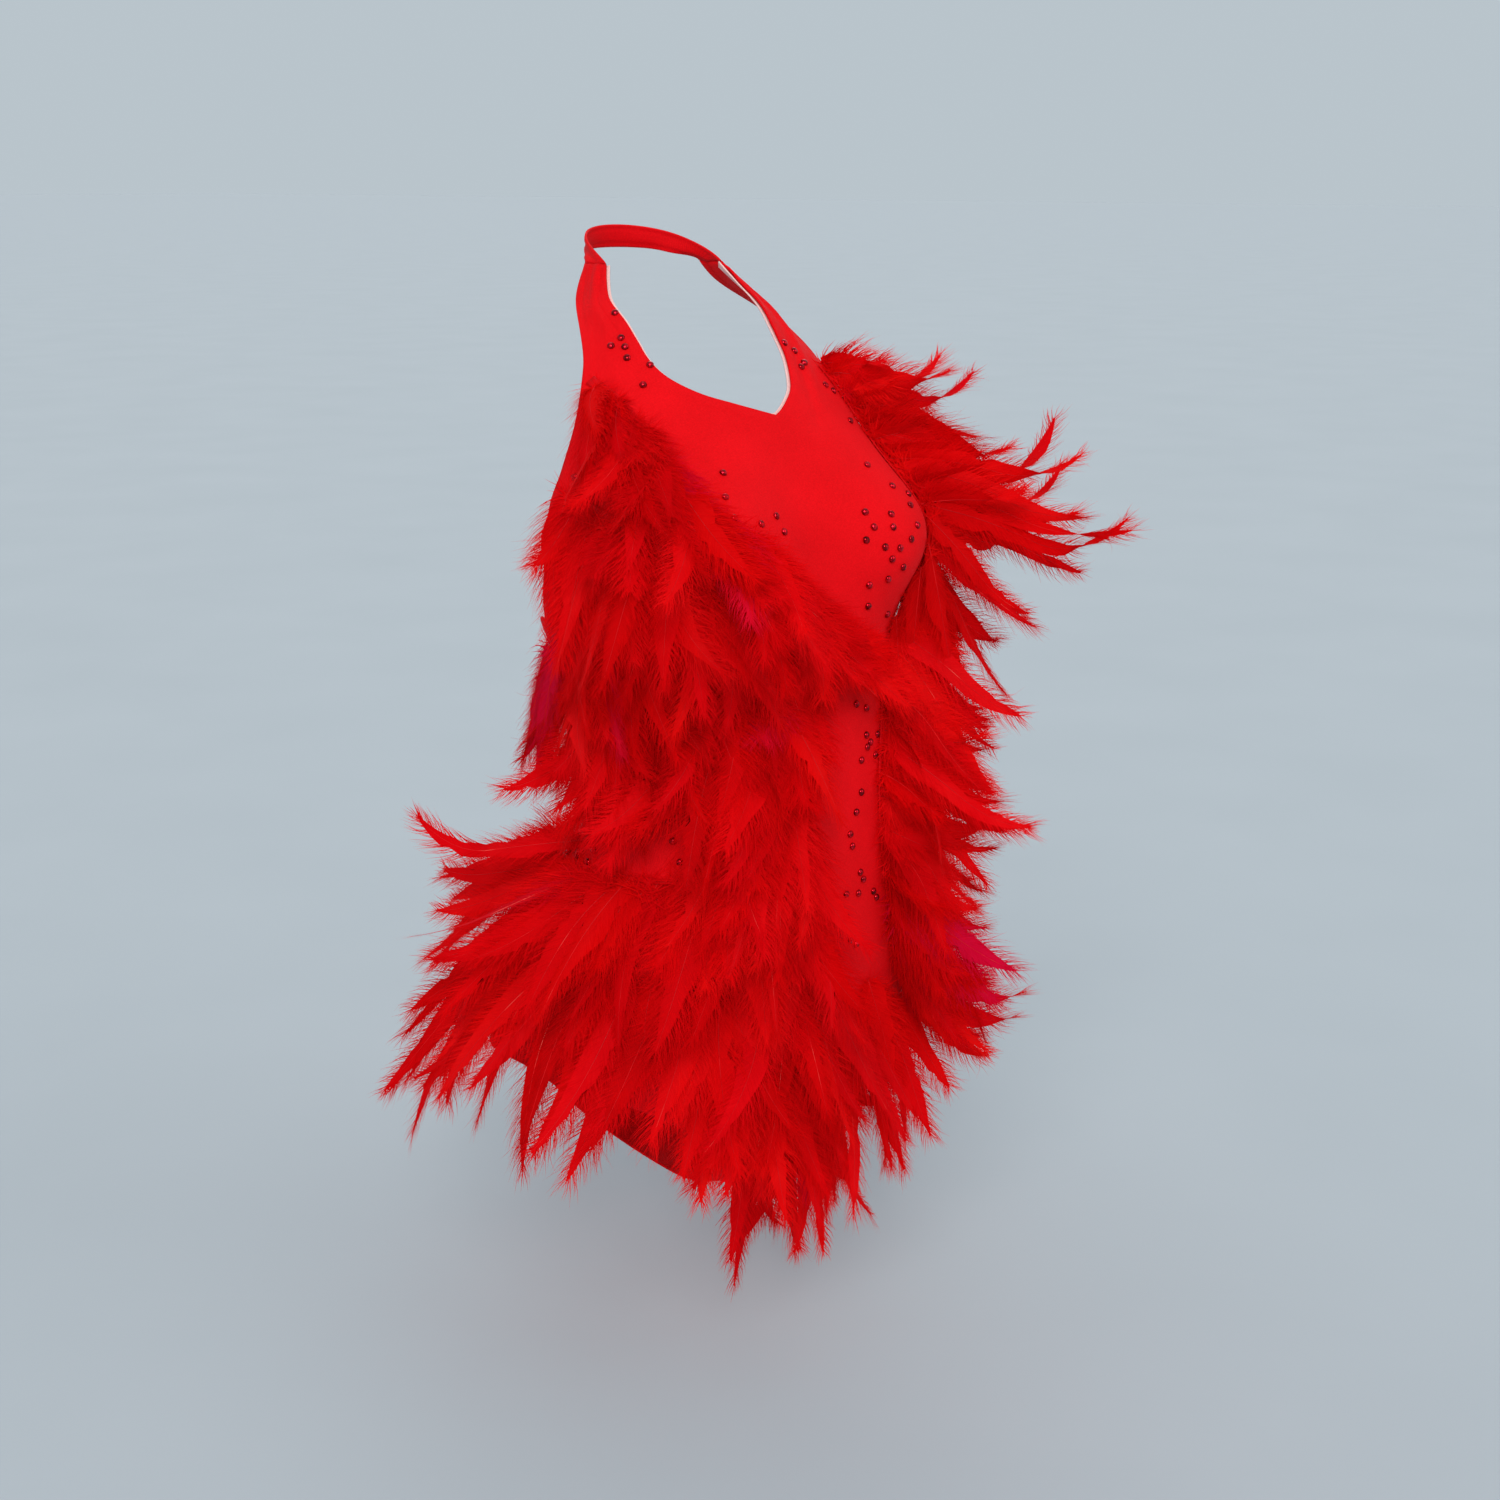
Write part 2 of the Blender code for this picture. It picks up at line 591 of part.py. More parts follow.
def heights_over_ridges(cloth, bases, normals):
    """How far each section of a tape stands off, so that its straight cells clear the cloth."""
    heights = [TAPE_GAP] * len(bases)
    for index in range(len(bases) - 1):
        normal = (normals[index] + normals[index + 1]).normalized()
        for across in (0.0, 0.25, 0.5, 0.75, 1.0):
            here, there = (bases[end][0].lerp(bases[end][1], across) for end in (index, index + 1))
            for share in (0.0, 0.2, 0.4, 0.6, 0.8, 1.0):
                point = here.lerp(there, share)
                rise = (seat(cloth, point, normal) - point).dot(normal) + TAPE_GAP
                heights[index] = max(heights[index], rise)
                heights[index + 1] = max(heights[index + 1], rise)
    return heights


def tape_path(rows, cells):
    """Angles and heights at the ends of each cell of a tape, with the feathers' values there.
    Cells alternate between a feather's root and a plain stretch."""
    fine = SAMPLES_PER_ROW * (len(rows) - 1)
    numbered = [dict(row, place=float(index)) for index, row in enumerate(rows)]
    columns = list(rows[0])
    samples = []
    for step in range(fine + 1):
        place = (len(rows) - 1) * step / fine
        samples.append({column: between(numbered, "place", column, place) for column in columns})
    lengths = [0.0]
    for one, two in zip(samples, samples[1:]):
        gap = figure(two["angle"], two["z"]) - figure(one["angle"], one["z"])
        lengths.append(lengths[-1] + gap.length)
    for sample, length in zip(samples, lengths):
        sample["run"] = length
    pitch = lengths[-1] / cells
    ends = []
    for cell in range(cells):
        ends += [cell * pitch + (pitch - LOCK_ROOT) / 2, cell * pitch + (pitch + LOCK_ROOT) / 2]
    ends = [0.0] + ends + [lengths[-1]]
    return [{column: between(samples, "run", column, run) for column in columns} for run in ends]


def trim(name, rows, count, cloth, placed, dice):
    """A tape on the cloth with feathers fused into its lower edge, as one closed body."""
    ends = tape_path(rows, count)
    frames = [frame_at(end["angle"], end["z"]) for end in ends]
    across_ways, side = [], 0.0
    for index, (_, left, down, normal) in enumerate(frames):
        before, after = frames[max(index - 1, 0)][0], frames[min(index + 1, len(frames) - 1)][0]
        across = normal.cross(after - before).normalized()
        turn = math.radians(ends[index]["heading"])
        side += across.dot(down * math.cos(turn) + left * math.sin(turn))
        across_ways.append(across)
    bases = []
    for (point, _, _, normal), across in zip(frames, across_ways):
        reach = across * math.copysign(TAPE_WIDTH / 2, side)
        bases.append((seat(cloth, point - reach, normal), seat(cloth, point + reach, normal)))
    normals = [frame[3] for frame in frames]
    sections = []
    heights = heights_over_ridges(cloth, bases, normals)
    for (upper, lower), normal, height in zip(bases, normals, heights):
        low, high = normal * height, normal * (height + TAPE_THICKNESS)
        sections.append([upper + low, upper + high, lower + high, lower + low])
    builder = bmesh.new()
    verts = [[builder.verts.new(corner) for corner in section] for section in sections]
    for cell, (one, two) in enumerate(zip(verts, verts[1:])):
        for side in (0, 1, 3):
            builder.faces.new((one[side], two[side], two[(side + 1) % 4], one[(side + 1) % 4]))
        root = [one[3], two[3], two[2], one[2]]
        lock = grow(ends[cell], ends[cell + 1], root, cloth, placed, dice) if cell % 2 else None
        if not lock:
            builder.faces.new(root)
            continue
        rings, tip = lock
        previous = root
        for ring in rings:
            current = [builder.verts.new(corner) for corner in ring]
            for corner in range(4):
                builder.faces.new((
                    previous[corner], previous[(corner + 1) % 4],
                    current[(corner + 1) % 4], current[corner],
                ))
            previous = current
        end = builder.verts.new(tip)
        for corner in range(4):
            builder.faces.new((previous[corner], previous[(corner + 1) % 4], end))
    builder.faces.new(verts[0])
    builder.faces.new(verts[-1])
    bmesh.ops.recalc_face_normals(builder, faces=builder.faces[:])
    if builder.calc_volume(signed=True) < 0:
        bmesh.ops.reverse_faces(builder, faces=builder.faces[:])
    sides = []
    for start in range(0, 4 * (len(sections) - 1), 4):
        for side in range(4):
            beside = (side + 1) % 4
            sides.append((start + side, start + 4 + side, start + 4 + beside, start + beside))
    corners = [corner for section in sections for corner in section]
    placed.append(BVHTree.FromPolygons(corners, sides))
    add_object(name, builder, RED_FEATHER)


def grow(start, end, root, cloth, placed, dice):
    """Finds room for one feather among those already placed, or gives nothing."""
    middle = {column: (start[column] + end[column]) / 2 for column in start}
    corners = [vert.co.copy() for vert in root]
    origin = sum(corners, Vector()) / 4
    side_way = corners[1] - corners[0]
    wobble = dice.uniform(-LOCK_HEADING_SPREAD, LOCK_HEADING_SPREAD)
    stretch = dice.uniform(*LOCK_LENGTH_SPREAD)
    raised = dice.choice(LOCK_LIFT_STEPS)
    for attempt in TRIES:
        line = spine(
            middle["angle"], middle["z"], middle["heading"] + wobble + attempt["heading"],
            middle["length"] * stretch,
            max(middle["lift"] + raised + attempt["lift"], LOCK_LEAST_LIFT),
            middle["droop"], middle["hook"], origin, side_way,
        )
        width = middle["half_width"] * attempt["width"]
        rings, tip = blade(line, width, LOCK_THICKNESS)
        room, depth = width + LOCK_CLEARANCE, LOCK_THICKNESS + 2 * LOCK_CLEARANCE
        roomy_rings, _ = blade(line, room, depth)
        pairs = zip(corners, roomy_rings[0])
        near_root = [corner.lerp(ring_corner, ROOT_SHARE) for corner, ring_corner in pairs]
        tree = blade_tree(near_root, roomy_rings, tip)
        if not any(tree.overlap(other) for other in placed + cloth):
            placed.append(blade_tree(corners, rings, tip))
            return rings, tip
    return None


def main():
    for obj in list(bpy.data.objects):
        bpy.data.objects.remove(obj)
    collection = bpy.data.collections.new("feather_dance_leotard")
    bpy.context.scene.collection.children.link(collection)
    half_seam = SEAM_GAP / 2
    front_rows = panel("front_panel", FRONT_ROWS, front_edges, CELLS_PER_HALF_FRONT, CROTCH_Y - half_seam)
    panel("back_panel", BACK_ROWS, back_edges, CELLS_PER_HALF_BACK, CROTCH_Y + half_seam)
    neck_band()
    neckline_facing(front_rows)
    graph = bpy.context.evaluated_depsgraph_get()
    cloth = [
        BVHTree.FromObject(bpy.data.objects[name], graph) for name in ("front_panel", "back_panel")
    ]
    placed = []
    dice = random.Random(SEED)
    for name, (count, rows) in TRIMS.items():
        trim(name, rows, count, cloth, placed, dice)


main()
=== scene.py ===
import math

import bpy
import numpy as np
from mathutils import Matrix, Vector
from mathutils.bvhtree import BVHTree
from mathutils.kdtree import KDTree


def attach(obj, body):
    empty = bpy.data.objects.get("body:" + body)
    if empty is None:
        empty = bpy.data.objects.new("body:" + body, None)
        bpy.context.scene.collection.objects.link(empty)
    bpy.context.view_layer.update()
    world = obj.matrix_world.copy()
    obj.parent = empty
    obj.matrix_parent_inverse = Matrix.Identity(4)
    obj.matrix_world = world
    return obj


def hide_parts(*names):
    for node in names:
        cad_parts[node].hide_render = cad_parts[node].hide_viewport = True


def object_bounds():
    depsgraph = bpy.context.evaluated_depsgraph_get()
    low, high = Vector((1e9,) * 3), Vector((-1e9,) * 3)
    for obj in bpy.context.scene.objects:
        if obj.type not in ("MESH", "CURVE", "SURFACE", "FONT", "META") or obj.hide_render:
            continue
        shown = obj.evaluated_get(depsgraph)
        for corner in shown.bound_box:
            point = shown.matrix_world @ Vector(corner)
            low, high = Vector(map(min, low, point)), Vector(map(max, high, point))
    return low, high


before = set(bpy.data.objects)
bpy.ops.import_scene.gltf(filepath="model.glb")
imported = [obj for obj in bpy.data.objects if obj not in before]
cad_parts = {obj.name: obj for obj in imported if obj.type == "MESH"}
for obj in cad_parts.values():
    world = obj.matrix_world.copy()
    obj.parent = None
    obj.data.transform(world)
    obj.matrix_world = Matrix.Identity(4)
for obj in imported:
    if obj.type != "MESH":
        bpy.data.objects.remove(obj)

CAD_BOX = [list(corner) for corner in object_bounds()]

# Camera and picture
PICTURE_SIDE = 1500
LENS = 50.0
SENSOR = 36.0
CAMERA_PLACE = (-0.8754, -1.1451, 0.042)
CAMERA_AZIMUTH = -40.0
CAMERA_PITCH = 15.3
FLOOR_Z = -0.755
SKY_LOW, SKY_HIGH = (0.487, 0.554, 0.600), (0.60, 0.66, 0.70)

# The cut, in metres and degrees. It is the solids' own, apart from the neck band's edges, which
# run on from the straps here, and the facing's lip, which shows more
CLOTH = 0.0015
FACING = 0.0010
CUP_ANGLE, CUP_HEIGHT, CUP_DEPTH = 36.0, -0.182, 0.036
CUP_WIDTH_ANGLE, CUP_WIDTH_HEIGHT = 23.0, 0.048
STRAP_TOP = -0.012
UNDERARM = -0.235
SIDE_LEG = -0.510
SIDE_SEAM_ANGLE = 103.0
CUSP_ANGLE, CUSP_HEIGHT, CUSP_FADE = 4.0, -0.105, 0.09
SEAM_GAP = 0.0003
CROTCH_Y, CROTCH_Z, CROTCH_EDGE_Z, CROTCH_HALF_WIDTH = -0.052, -0.655, -0.648, 0.036
CROTCH_ROWS = 18
BAND_UPPER_RISE, BAND_RISE_POWER = 0.024, 0.8
BAND_LOWER_RISE, BAND_LOWER_POWER = 0.009, 0.55
BAND_HUG, BAND_FOLD = 0.0030, 0.00035
BAND_SECTIONS, BAND_CELLS = 88, 14
FACING_INSIDE, FACING_LIP, FACING_GAP = 0.0045, 0.0016, 0.00045
HEM_WIDTH, HEM_RISE, HEM_STEP = 0.0068, 0.00035, 0.0007
SEAM_SINK, SEAM_REACH = 0.00045, 0.0022
TAPE_WIDTH, TAPE_THICKNESS, TAPE_GAP = 0.007, 0.0012, 0.0004
TAPE_SECTION = ((-0.5, 0.0), (-0.5, 0.8), (-0.3, 1.0), (0.3, 1.0), (0.5, 0.8), (0.5, 0.0))
HEM_INSET, NECK_INSET, STITCH_PITCH = 0.0056, 0.0050, 0.0027
STITCH_SIZE, STITCH_LIFT, STITCH_FAR = (0.00105, 0.00024, 0.00022), 0.004, 0.006

# Grid density of the cloth
ROWS_PER_ROW = 4
CELLS_FRONT = 42
CELLS_BACK = 36

# Feathers: steps along each, and how many barbs, hairs and strands of down each has
SPINE_STEPS = 16
FRINGE, HAIRS, TIP_HAIRS, DOWN = 104, 66, 26, 34

# How many feathers there are for each one of the solids', and how many are short
FEATHER_SHARE = 2.7
SIDE_FEATHER_SHARE = 2.3
SHORT_SHARE = 0.20

# Webs, and how far feathers stay off the cloth and go past the solids' box, in metres
WEB_REACH, WEB_CUP, WEB_RIPPLE = 0.0112, 0.031, 0.0011
VANE_ROWS, VANE_COLUMNS, VANE_SCALE = 17, 6, 1.99
SPINE_ROOM, HAIR_ROOM, WEB_ROOM, FEATHER_ROOM = 0.0014, 0.0008, 0.0006, 0.004
QUILL_TAPER, QUILL_TIP = 0.00030, 0.00006
BARB_ALONG, BARB_SLANT, BARB_STRETCH = 0.12, 1.3, (1100.0, 60.0, 40.0)
TAPE_TONE, TAPE_STEP, TAPE_SAMPLES = 0.4, 0.004, 24
TURN_SPREAD, SIDE_TURN_SPREAD = 24, 18
SEED = 23


def table(columns, *rows):
    return {name: np.array([row[i] for row in rows], float) for i, name in enumerate(columns.split())}


FIGURE = table(
    "z half_width front back centre_y square",
    (0.060, 0.040, 0.043, 0.043, -0.006, 2.0),
    (0.000, 0.044, 0.048, 0.046, 0.000, 2.0),
    (-0.023, 0.056, 0.058, 0.054, 0.000, 2.0),
    (-0.047, 0.082, 0.072, 0.068, -0.004, 2.1),
    (-0.075, 0.108, 0.086, 0.082, -0.010, 2.2),
    (-0.112, 0.122, 0.100, 0.092, -0.022, 2.3),
    (-0.158, 0.127, 0.110, 0.098, -0.036, 2.3),
    (-0.195, 0.125, 0.110, 0.098, -0.047, 2.3),
    (-0.242, 0.119, 0.102, 0.092, -0.064, 2.3),
    (-0.298, 0.113, 0.094, 0.086, -0.080, 2.2),
    (-0.344, 0.112, 0.090, 0.084, -0.088, 2.2),
    (-0.391, 0.122, 0.094, 0.092, -0.086, 2.2),
    (-0.446, 0.142, 0.100, 0.108, -0.078, 2.3),
    (-0.502, 0.158, 0.103, 0.120, -0.068, 2.3),
    (-0.549, 0.164, 0.100, 0.120, -0.060, 2.4),
    (-0.595, 0.160, 0.088, 0.108, -0.052, 2.4),
    (-0.640, 0.158, 0.078, 0.095, -0.052, 2.4),
)
ARMHOLE = table(
    "z angle",
    (-0.012, 101), (-0.025, 94), (-0.045, 77), (-0.060, 69), (-0.075, 66), (-0.105, 68),
    (-0.135, 74), (-0.155, 80), (-0.190, 88), (-0.220, 98), (-0.235, 103),
)
NECKLINE = table(
    "z right left",
    (-0.012, 75, 72), (-0.022, 70, 60), (-0.032, 64, 50), (-0.045, 53, 38), (-0.057, 47, 32),
    (-0.070, 42, 28), (-0.080, 36, 24), (-0.090, 25, 19), (-0.097, 12, 13), (-0.102, 2, 8),
    (-0.105, -4, 4),
)
FRONT_LEG = table(
    "z angle",
    (-0.510, 103), (-0.518, 90), (-0.527, 79), (-0.536, 68), (-0.546, 59), (-0.556, 53),
    (-0.565, 48),
)
BACK_LEG = table(
    "z angle",
    (-0.510, 103), (-0.530, 112), (-0.550, 121), (-0.570, 130), (-0.590, 139), (-0.610, 147),
)
BACK_SCOOP = table(
    "z angle",
    (-0.235, 108), (-0.243, 116), (-0.255, 124), (-0.270, 131), (-0.290, 139), (-0.312, 149),
    (-0.332, 160), (-0.345, 170), (-0.350, 180),
)
FRONT_ROWS = (
    -0.012, -0.022, -0.032, -0.042, -0.052, -0.062, -0.071, -0.080, -0.087, -0.093, -0.098,
    -0.102, -0.105, -0.114, -0.126, -0.139, -0.152, -0.164, -0.176, -0.188, -0.200, -0.212,
    -0.224, -0.235, -0.248, -0.263, -0.280, -0.300, -0.322, -0.344, -0.366, -0.389, -0.414,
    -0.440, -0.465, -0.488, -0.510, -0.518, -0.527, -0.536, -0.546, -0.556, -0.565,
)
BACK_ROWS = (
    -0.235, -0.243, -0.255, -0.270, -0.290, -0.312, -0.332, -0.345, -0.350, -0.370, -0.392,
    -0.416, -0.440, -0.465, -0.488, -0.510, -0.530, -0.550, -0.570, -0.590, -0.610,
)

# Soft creases in the cloth: where each starts and ends, its width and how far it stands out
# (minus is a trough), in metres. Angles become metres at the radius, and the creases fade out
# down to a height
CREASE_RADIUS, CREASE_END, CREASE_FADE = 0.11, -0.63, 0.03
CREASES = table(
    "angle1 z1 angle2 z2 width height",
    (-84, -0.014, -58, -0.056, 0.0038, 0.0024),
    (-78, -0.018, -62, -0.052, 0.0030, -0.0016),
    (-93, -0.018, -70, -0.050, 0.0030, -0.0013),
    (-60, -0.058, -50, -0.092, 0.0045, 0.0011),
    (66, -0.018, 44, -0.062, 0.0034, 0.0024),
    (73, -0.024, 52, -0.068, 0.0032, -0.0016),
    (47, -0.056, 28, -0.102, 0.0048, 0.0014),
    (38, -0.064, 20, -0.120, 0.0052, -0.0012),
    (14, -0.112, 40, -0.104, 0.0040, -0.0007),
    (10, -0.120, 36, -0.122, 0.0050, 0.0005),
    (-4, -0.118, -26, -0.106, 0.0045, -0.0005),
    (2, -0.150, 16, -0.172, 0.0070, -0.0006),
    (-6, -0.235, 12, -0.262, 0.0060, 0.0007),
    (6, -0.262, 22, -0.240, 0.0050, -0.0006),
    (12, -0.305, 30, -0.290, 0.0050, 0.0006),
    (4, -0.340, 26, -0.328, 0.0055, -0.0006),
    (98, -0.242, 74, -0.225, 0.0045, -0.0009),
    (-98, -0.246, -76, -0.230, 0.0045, -0.0009),
    (100, -0.262, 82, -0.250, 0.0040, 0.0007),
    (-100, -0.300, -80, -0.312, 0.0050, 0.0007),
    (98, -0.316, 76, -0.330, 0.0050, -0.0007),
    (70, -0.520, 40, -0.498, 0.0055, 0.0009),
    (62, -0.536, 34, -0.520, 0.0050, -0.0009),
    (-66, -0.524, -38, -0.506, 0.0055, 0.0009),
    (-58, -0.540, -30, -0.524, 0.0050, -0.0009),
    (44, -0.560, 20, -0.548, 0.0045, 0.0008),
    (-40, -0.562, -18, -0.552, 0.0045, 0.0008),
    (126, -0.276, 150, -0.352, 0.0060, 0.0009),
    (-124, -0.282, -148, -0.358, 0.0060, 0.0009),
    (140, -0.330, 172, -0.386, 0.0065, -0.0010),
    (-142, -0.336, -170, -0.392, 0.0065, -0.0010),
    (160, -0.402, -174, -0.420, 0.0070, 0.0009),
    (118, -0.420, 136, -0.440, 0.0060, -0.0007),
    (-116, -0.428, -138, -0.446, 0.0060, -0.0007),
    (132, -0.572, 154, -0.520, 0.0055, 0.0010),
    (-130, -0.566, -152, -0.512, 0.0055, 0.0010),
    (142, -0.590, 162, -0.560, 0.0050, -0.0009),
    (-144, -0.594, -166, -0.556, 0.0050, -0.0009),
    (176, -0.560, 178, -0.480, 0.0080, -0.0014),
)

# Feather trims. Each row is a point of the tape: angle round the figure and height, then the
# feathers there: heading (0 is down, plus turns to the wearer's left), length, lift off the
# cloth, droop (how far the feather bends down along its length), hook (how far its outer half
# turns up again) and half width. The first number is how many feathers the solid has
TRIM_COLUMNS = "angle z heading length lift droop hook half_width"
TRIMS = {
    "trim_front_point": (
        7,
        (18, -0.548, 6, 0.105, 20, 0.5, 0.2, 0.009),
        (3, -0.562, 0, 0.135, 22, 0.5, 0.4, 0.010),
        (-12, -0.562, -6, 0.140, 20, 0.5, 0.1, 0.010),
        (-30, -0.550, -8, 0.110, 20, 0.5, 0.2, 0.009),
    ),
    "trim_front_low": (
        11,
        (36, -0.508, 12, 0.105, 22, 0.4, 0.3, 0.010),
        (14, -0.512, 4, 0.125, 24, 0.4, 0.2, 0.010),
        (-8, -0.518, -2, 0.125, 24, 0.4, 0.2, 0.010),
        (-28, -0.512, -6, 0.105, 24, 0.4, 0.2, 0.010),
        (-44, -0.500, -10, 0.095, 26, 0.4, 0.2, 0.010),
    ),
    "trim_hip_lower": (
        37,
        (0, -0.466, 2, 0.120, 20, 0.3, 0.1, 0.011),
        (-28, -0.460, -6, 0.120, 22, 0.4, 0.1, 0.011),
        (-60, -0.450, -10, 0.130, 20, 0.4, 0.2, 0.011),
        (-90, -0.450, -10, 0.145, 22, 0.5, 0.2, 0.011),
        (-125, -0.456, -8, 0.160, 25, 0.8, 0.2, 0.011),
        (-155, -0.464, -4, 0.140, 26, 0.6, 0.2, 0.011),
        (-180, -0.468, 0, 0.125, 28, 0.4, 0.2, 0.011),
        (-208, -0.462, 6, 0.120, 28, 0.4, 0.2, 0.011),
        (-240, -0.454, 12, 0.115, 26, 0.4, 0.3, 0.011),
        (-275, -0.452, 16, 0.110, 26, 0.5, 0.6, 0.011),
        (-305, -0.458, 14, 0.108, 30, 0.5, 0.6, 0.011),
    ),
    "trim_hip_upper": (
        31,
        (-6, -0.408, 0, 0.110, 18, 0.3, 0.1, 0.011),
        (-20, -0.405, -2, 0.115, 18, 0.3, 0.1, 0.011),
        (-36, -0.400, -8, 0.115, 18, 0.3, 0.1, 0.011),
        (-58, -0.394, -16, 0.120, 20, 0.3, 0.1, 0.011),
        (-85, -0.394, -26, 0.125, 28, 0.3, 0.2, 0.011),
        (-115, -0.398, -26, 0.130, 36, 0.4, 0.3, 0.011),
        (-150, -0.405, -8, 0.115, 30, 0.3, 0.2, 0.011),
        (-180, -0.408, 0, 0.110, 28, 0.3, 0.2, 0.011),
        (-210, -0.405, 8, 0.105, 28, 0.3, 0.2, 0.011),
        (-245, -0.400, 12, 0.100, 26, 0.4, 0.3, 0.011),
        (-280, -0.400, 16, 0.095, 26, 0.5, 0.6, 0.011),
        (-302, -0.402, 16, 0.090, 28, 0.5, 0.6, 0.011),
    ),
    "trim_midriff": (
        8,
        (-13, -0.350, -6, 0.100, 16, 0.3, 0.1, 0.010),
        (-20, -0.354, -8, 0.105, 16, 0.3, 0.1, 0.010),
        (-30, -0.352, -14, 0.100, 16, 0.3, 0.1, 0.010),
        (-43, -0.343, -18, 0.090, 16, 0.3, 0.1, 0.010),
    ),
    "trim_waist": (
        12,
        (-15, -0.302, -8, 0.100, 14, 0.3, 0.1, 0.010),
        (-26, -0.300, -16, 0.105, 14, 0.3, 0.1, 0.010),
        (-43, -0.298, -26, 0.095, 14, 0.2, 0.1, 0.010),
        (-63, -0.296, -32, 0.085, 14, 0.2, 0.1, 0.010),
        (-86, -0.294, -34, 0.080, 16, 0.2, 0.2, 0.010),
    ),
    "trim_rib": (
        15,
        (-16, -0.275, -2, 0.085, 14, 0.4, 0.1, 0.010),
        (-30, -0.269, -3, 0.092, 14, 0.4, 0.1, 0.010),
        (-50, -0.261, -8, 0.100, 16, 0.4, 0.1, 0.010),
        (-76, -0.255, -14, 0.094, 16, 0.4, 0.2, 0.010),
        (-98, -0.256, -18, 0.080, 18, 0.4, 0.2, 0.010),
        (-118, -0.264, -14, 0.066, 20, 0.4, 0.2, 0.010),
    ),
    "trim_side_bust": (
        11,
        (-14, -0.246, 12, 0.085, 12, 0.4, 0.1, 0.010),
        (-24, -0.237, 6, 0.095, 12, 0.4, 0.1, 0.010),
        (-38, -0.226, 0, 0.100, 12, 0.4, 0.1, 0.010),
        (-58, -0.212, -8, 0.105, 14, 0.4, 0.1, 0.010),
        (-80, -0.202, -10, 0.092, 14, 0.4, 0.2, 0.010),
    ),
    "trim_breast": (
        10,
        (-20, -0.216, 12, 0.085, 12, 0.4, 0.1, 0.009),
        (-30, -0.199, 8, 0.090, 12, 0.4, 0.1, 0.010),
        (-42, -0.182, 0, 0.100, 12, 0.4, 0.1, 0.010),
        (-56, -0.164, -8, 0.100, 14, 0.4, 0.1, 0.010),
        (-72, -0.149, -8, 0.092, 13, 0.4, 0.1, 0.010),
    ),
    "trim_bust": (
        16,
        (13, -0.243, 54, 0.078, 10, 0.2, 0.2, 0.009),
        (2, -0.237, 40, 0.085, 10, 0.3, 0.2, 0.009),
        (-9, -0.213, 24, 0.090, 10, 0.3, 0.2, 0.010),
        (-17, -0.188, 14, 0.095, 12, 0.4, 0.1, 0.010),
        (-27, -0.169, 8, 0.095, 12, 0.4, 0.1, 0.010),
        (-37, -0.147, -2, 0.095, 12, 0.4, 0.1, 0.010),
        (-45, -0.119, -6, 0.100, 12, 0.4, 0.1, 0.010),
        (-54, -0.094, -8, 0.100, 12, 0.4, 0.1, 0.009),
        (-63, -0.081, -8, 0.092, 12, 0.4, 0.1, 0.009),
    ),
    "trim_left_upper": (
        15,
        (50, -0.080, 50, 0.105, 32, 0.5, 0.9, 0.009),
        (54, -0.105, 46, 0.115, 34, 0.6, 1.0, 0.010),
        (50, -0.135, 40, 0.120, 40, 0.6, 1.0, 0.010),
        (47, -0.160, 34, 0.180, 50, 0.6, 1.5, 0.010),
        (45, -0.195, 44, 0.130, 44, 0.5, 1.0, 0.010),
        (45, -0.232, 44, 0.125, 38, 0.5, 0.9, 0.010),
    ),
    "trim_left_lower": (
        21,
        (44, -0.250, 46, 0.120, 36, 0.8, 0.9, 0.010),
        (40, -0.285, 44, 0.115, 36, 0.8, 1.0, 0.010),
        (37, -0.322, 44, 0.120, 38, 0.7, 1.1, 0.010),
        (34, -0.360, 40, 0.100, 34, 0.7, 1.0, 0.010),
        (34, -0.400, 36, 0.090, 32, 0.6, 0.8, 0.010),
        (36, -0.440, 36, 0.092, 30, 0.5, 0.7, 0.010),
        (39, -0.470, 32, 0.092, 30, 0.4, 0.6, 0.010),
        (45, -0.493, 26, 0.095, 28, 0.3, 0.5, 0.010),
    ),
    "trim_left_flank": (
        17,
        (74, -0.150, 56, 0.100, 34, 0.5, 0.7, 0.010),
        (76, -0.190, 52, 0.105, 34, 0.5, 0.7, 0.010),
        (78, -0.240, 48, 0.105, 34, 0.5, 0.7, 0.010),
        (76, -0.290, 44, 0.105, 34, 0.5, 0.7, 0.010),
        (72, -0.335, 42, 0.105, 34, 0.5, 0.7, 0.010),
        (70, -0.372, 40, 0.098, 34, 0.4, 0.6, 0.010),
    ),
}

# How far the feathers of a trim turn round their quills, in degrees, so that their faces show
FACE_TURN = {"trim_left_upper": -58.0, "trim_left_lower": -56.0, "trim_left_flank": -30.0}

# The same for the single feathers of a trim
SINGLE_TURN = {"trim_hip_upper": -85.0}

# Small patches where the cloth and its stones show between the feathers
BARE_PATCHES = table(
    "angle z reach", (-93, -0.378, 0.018), (-58, -0.362, 0.024), (-7, -0.408, 0.016),
)

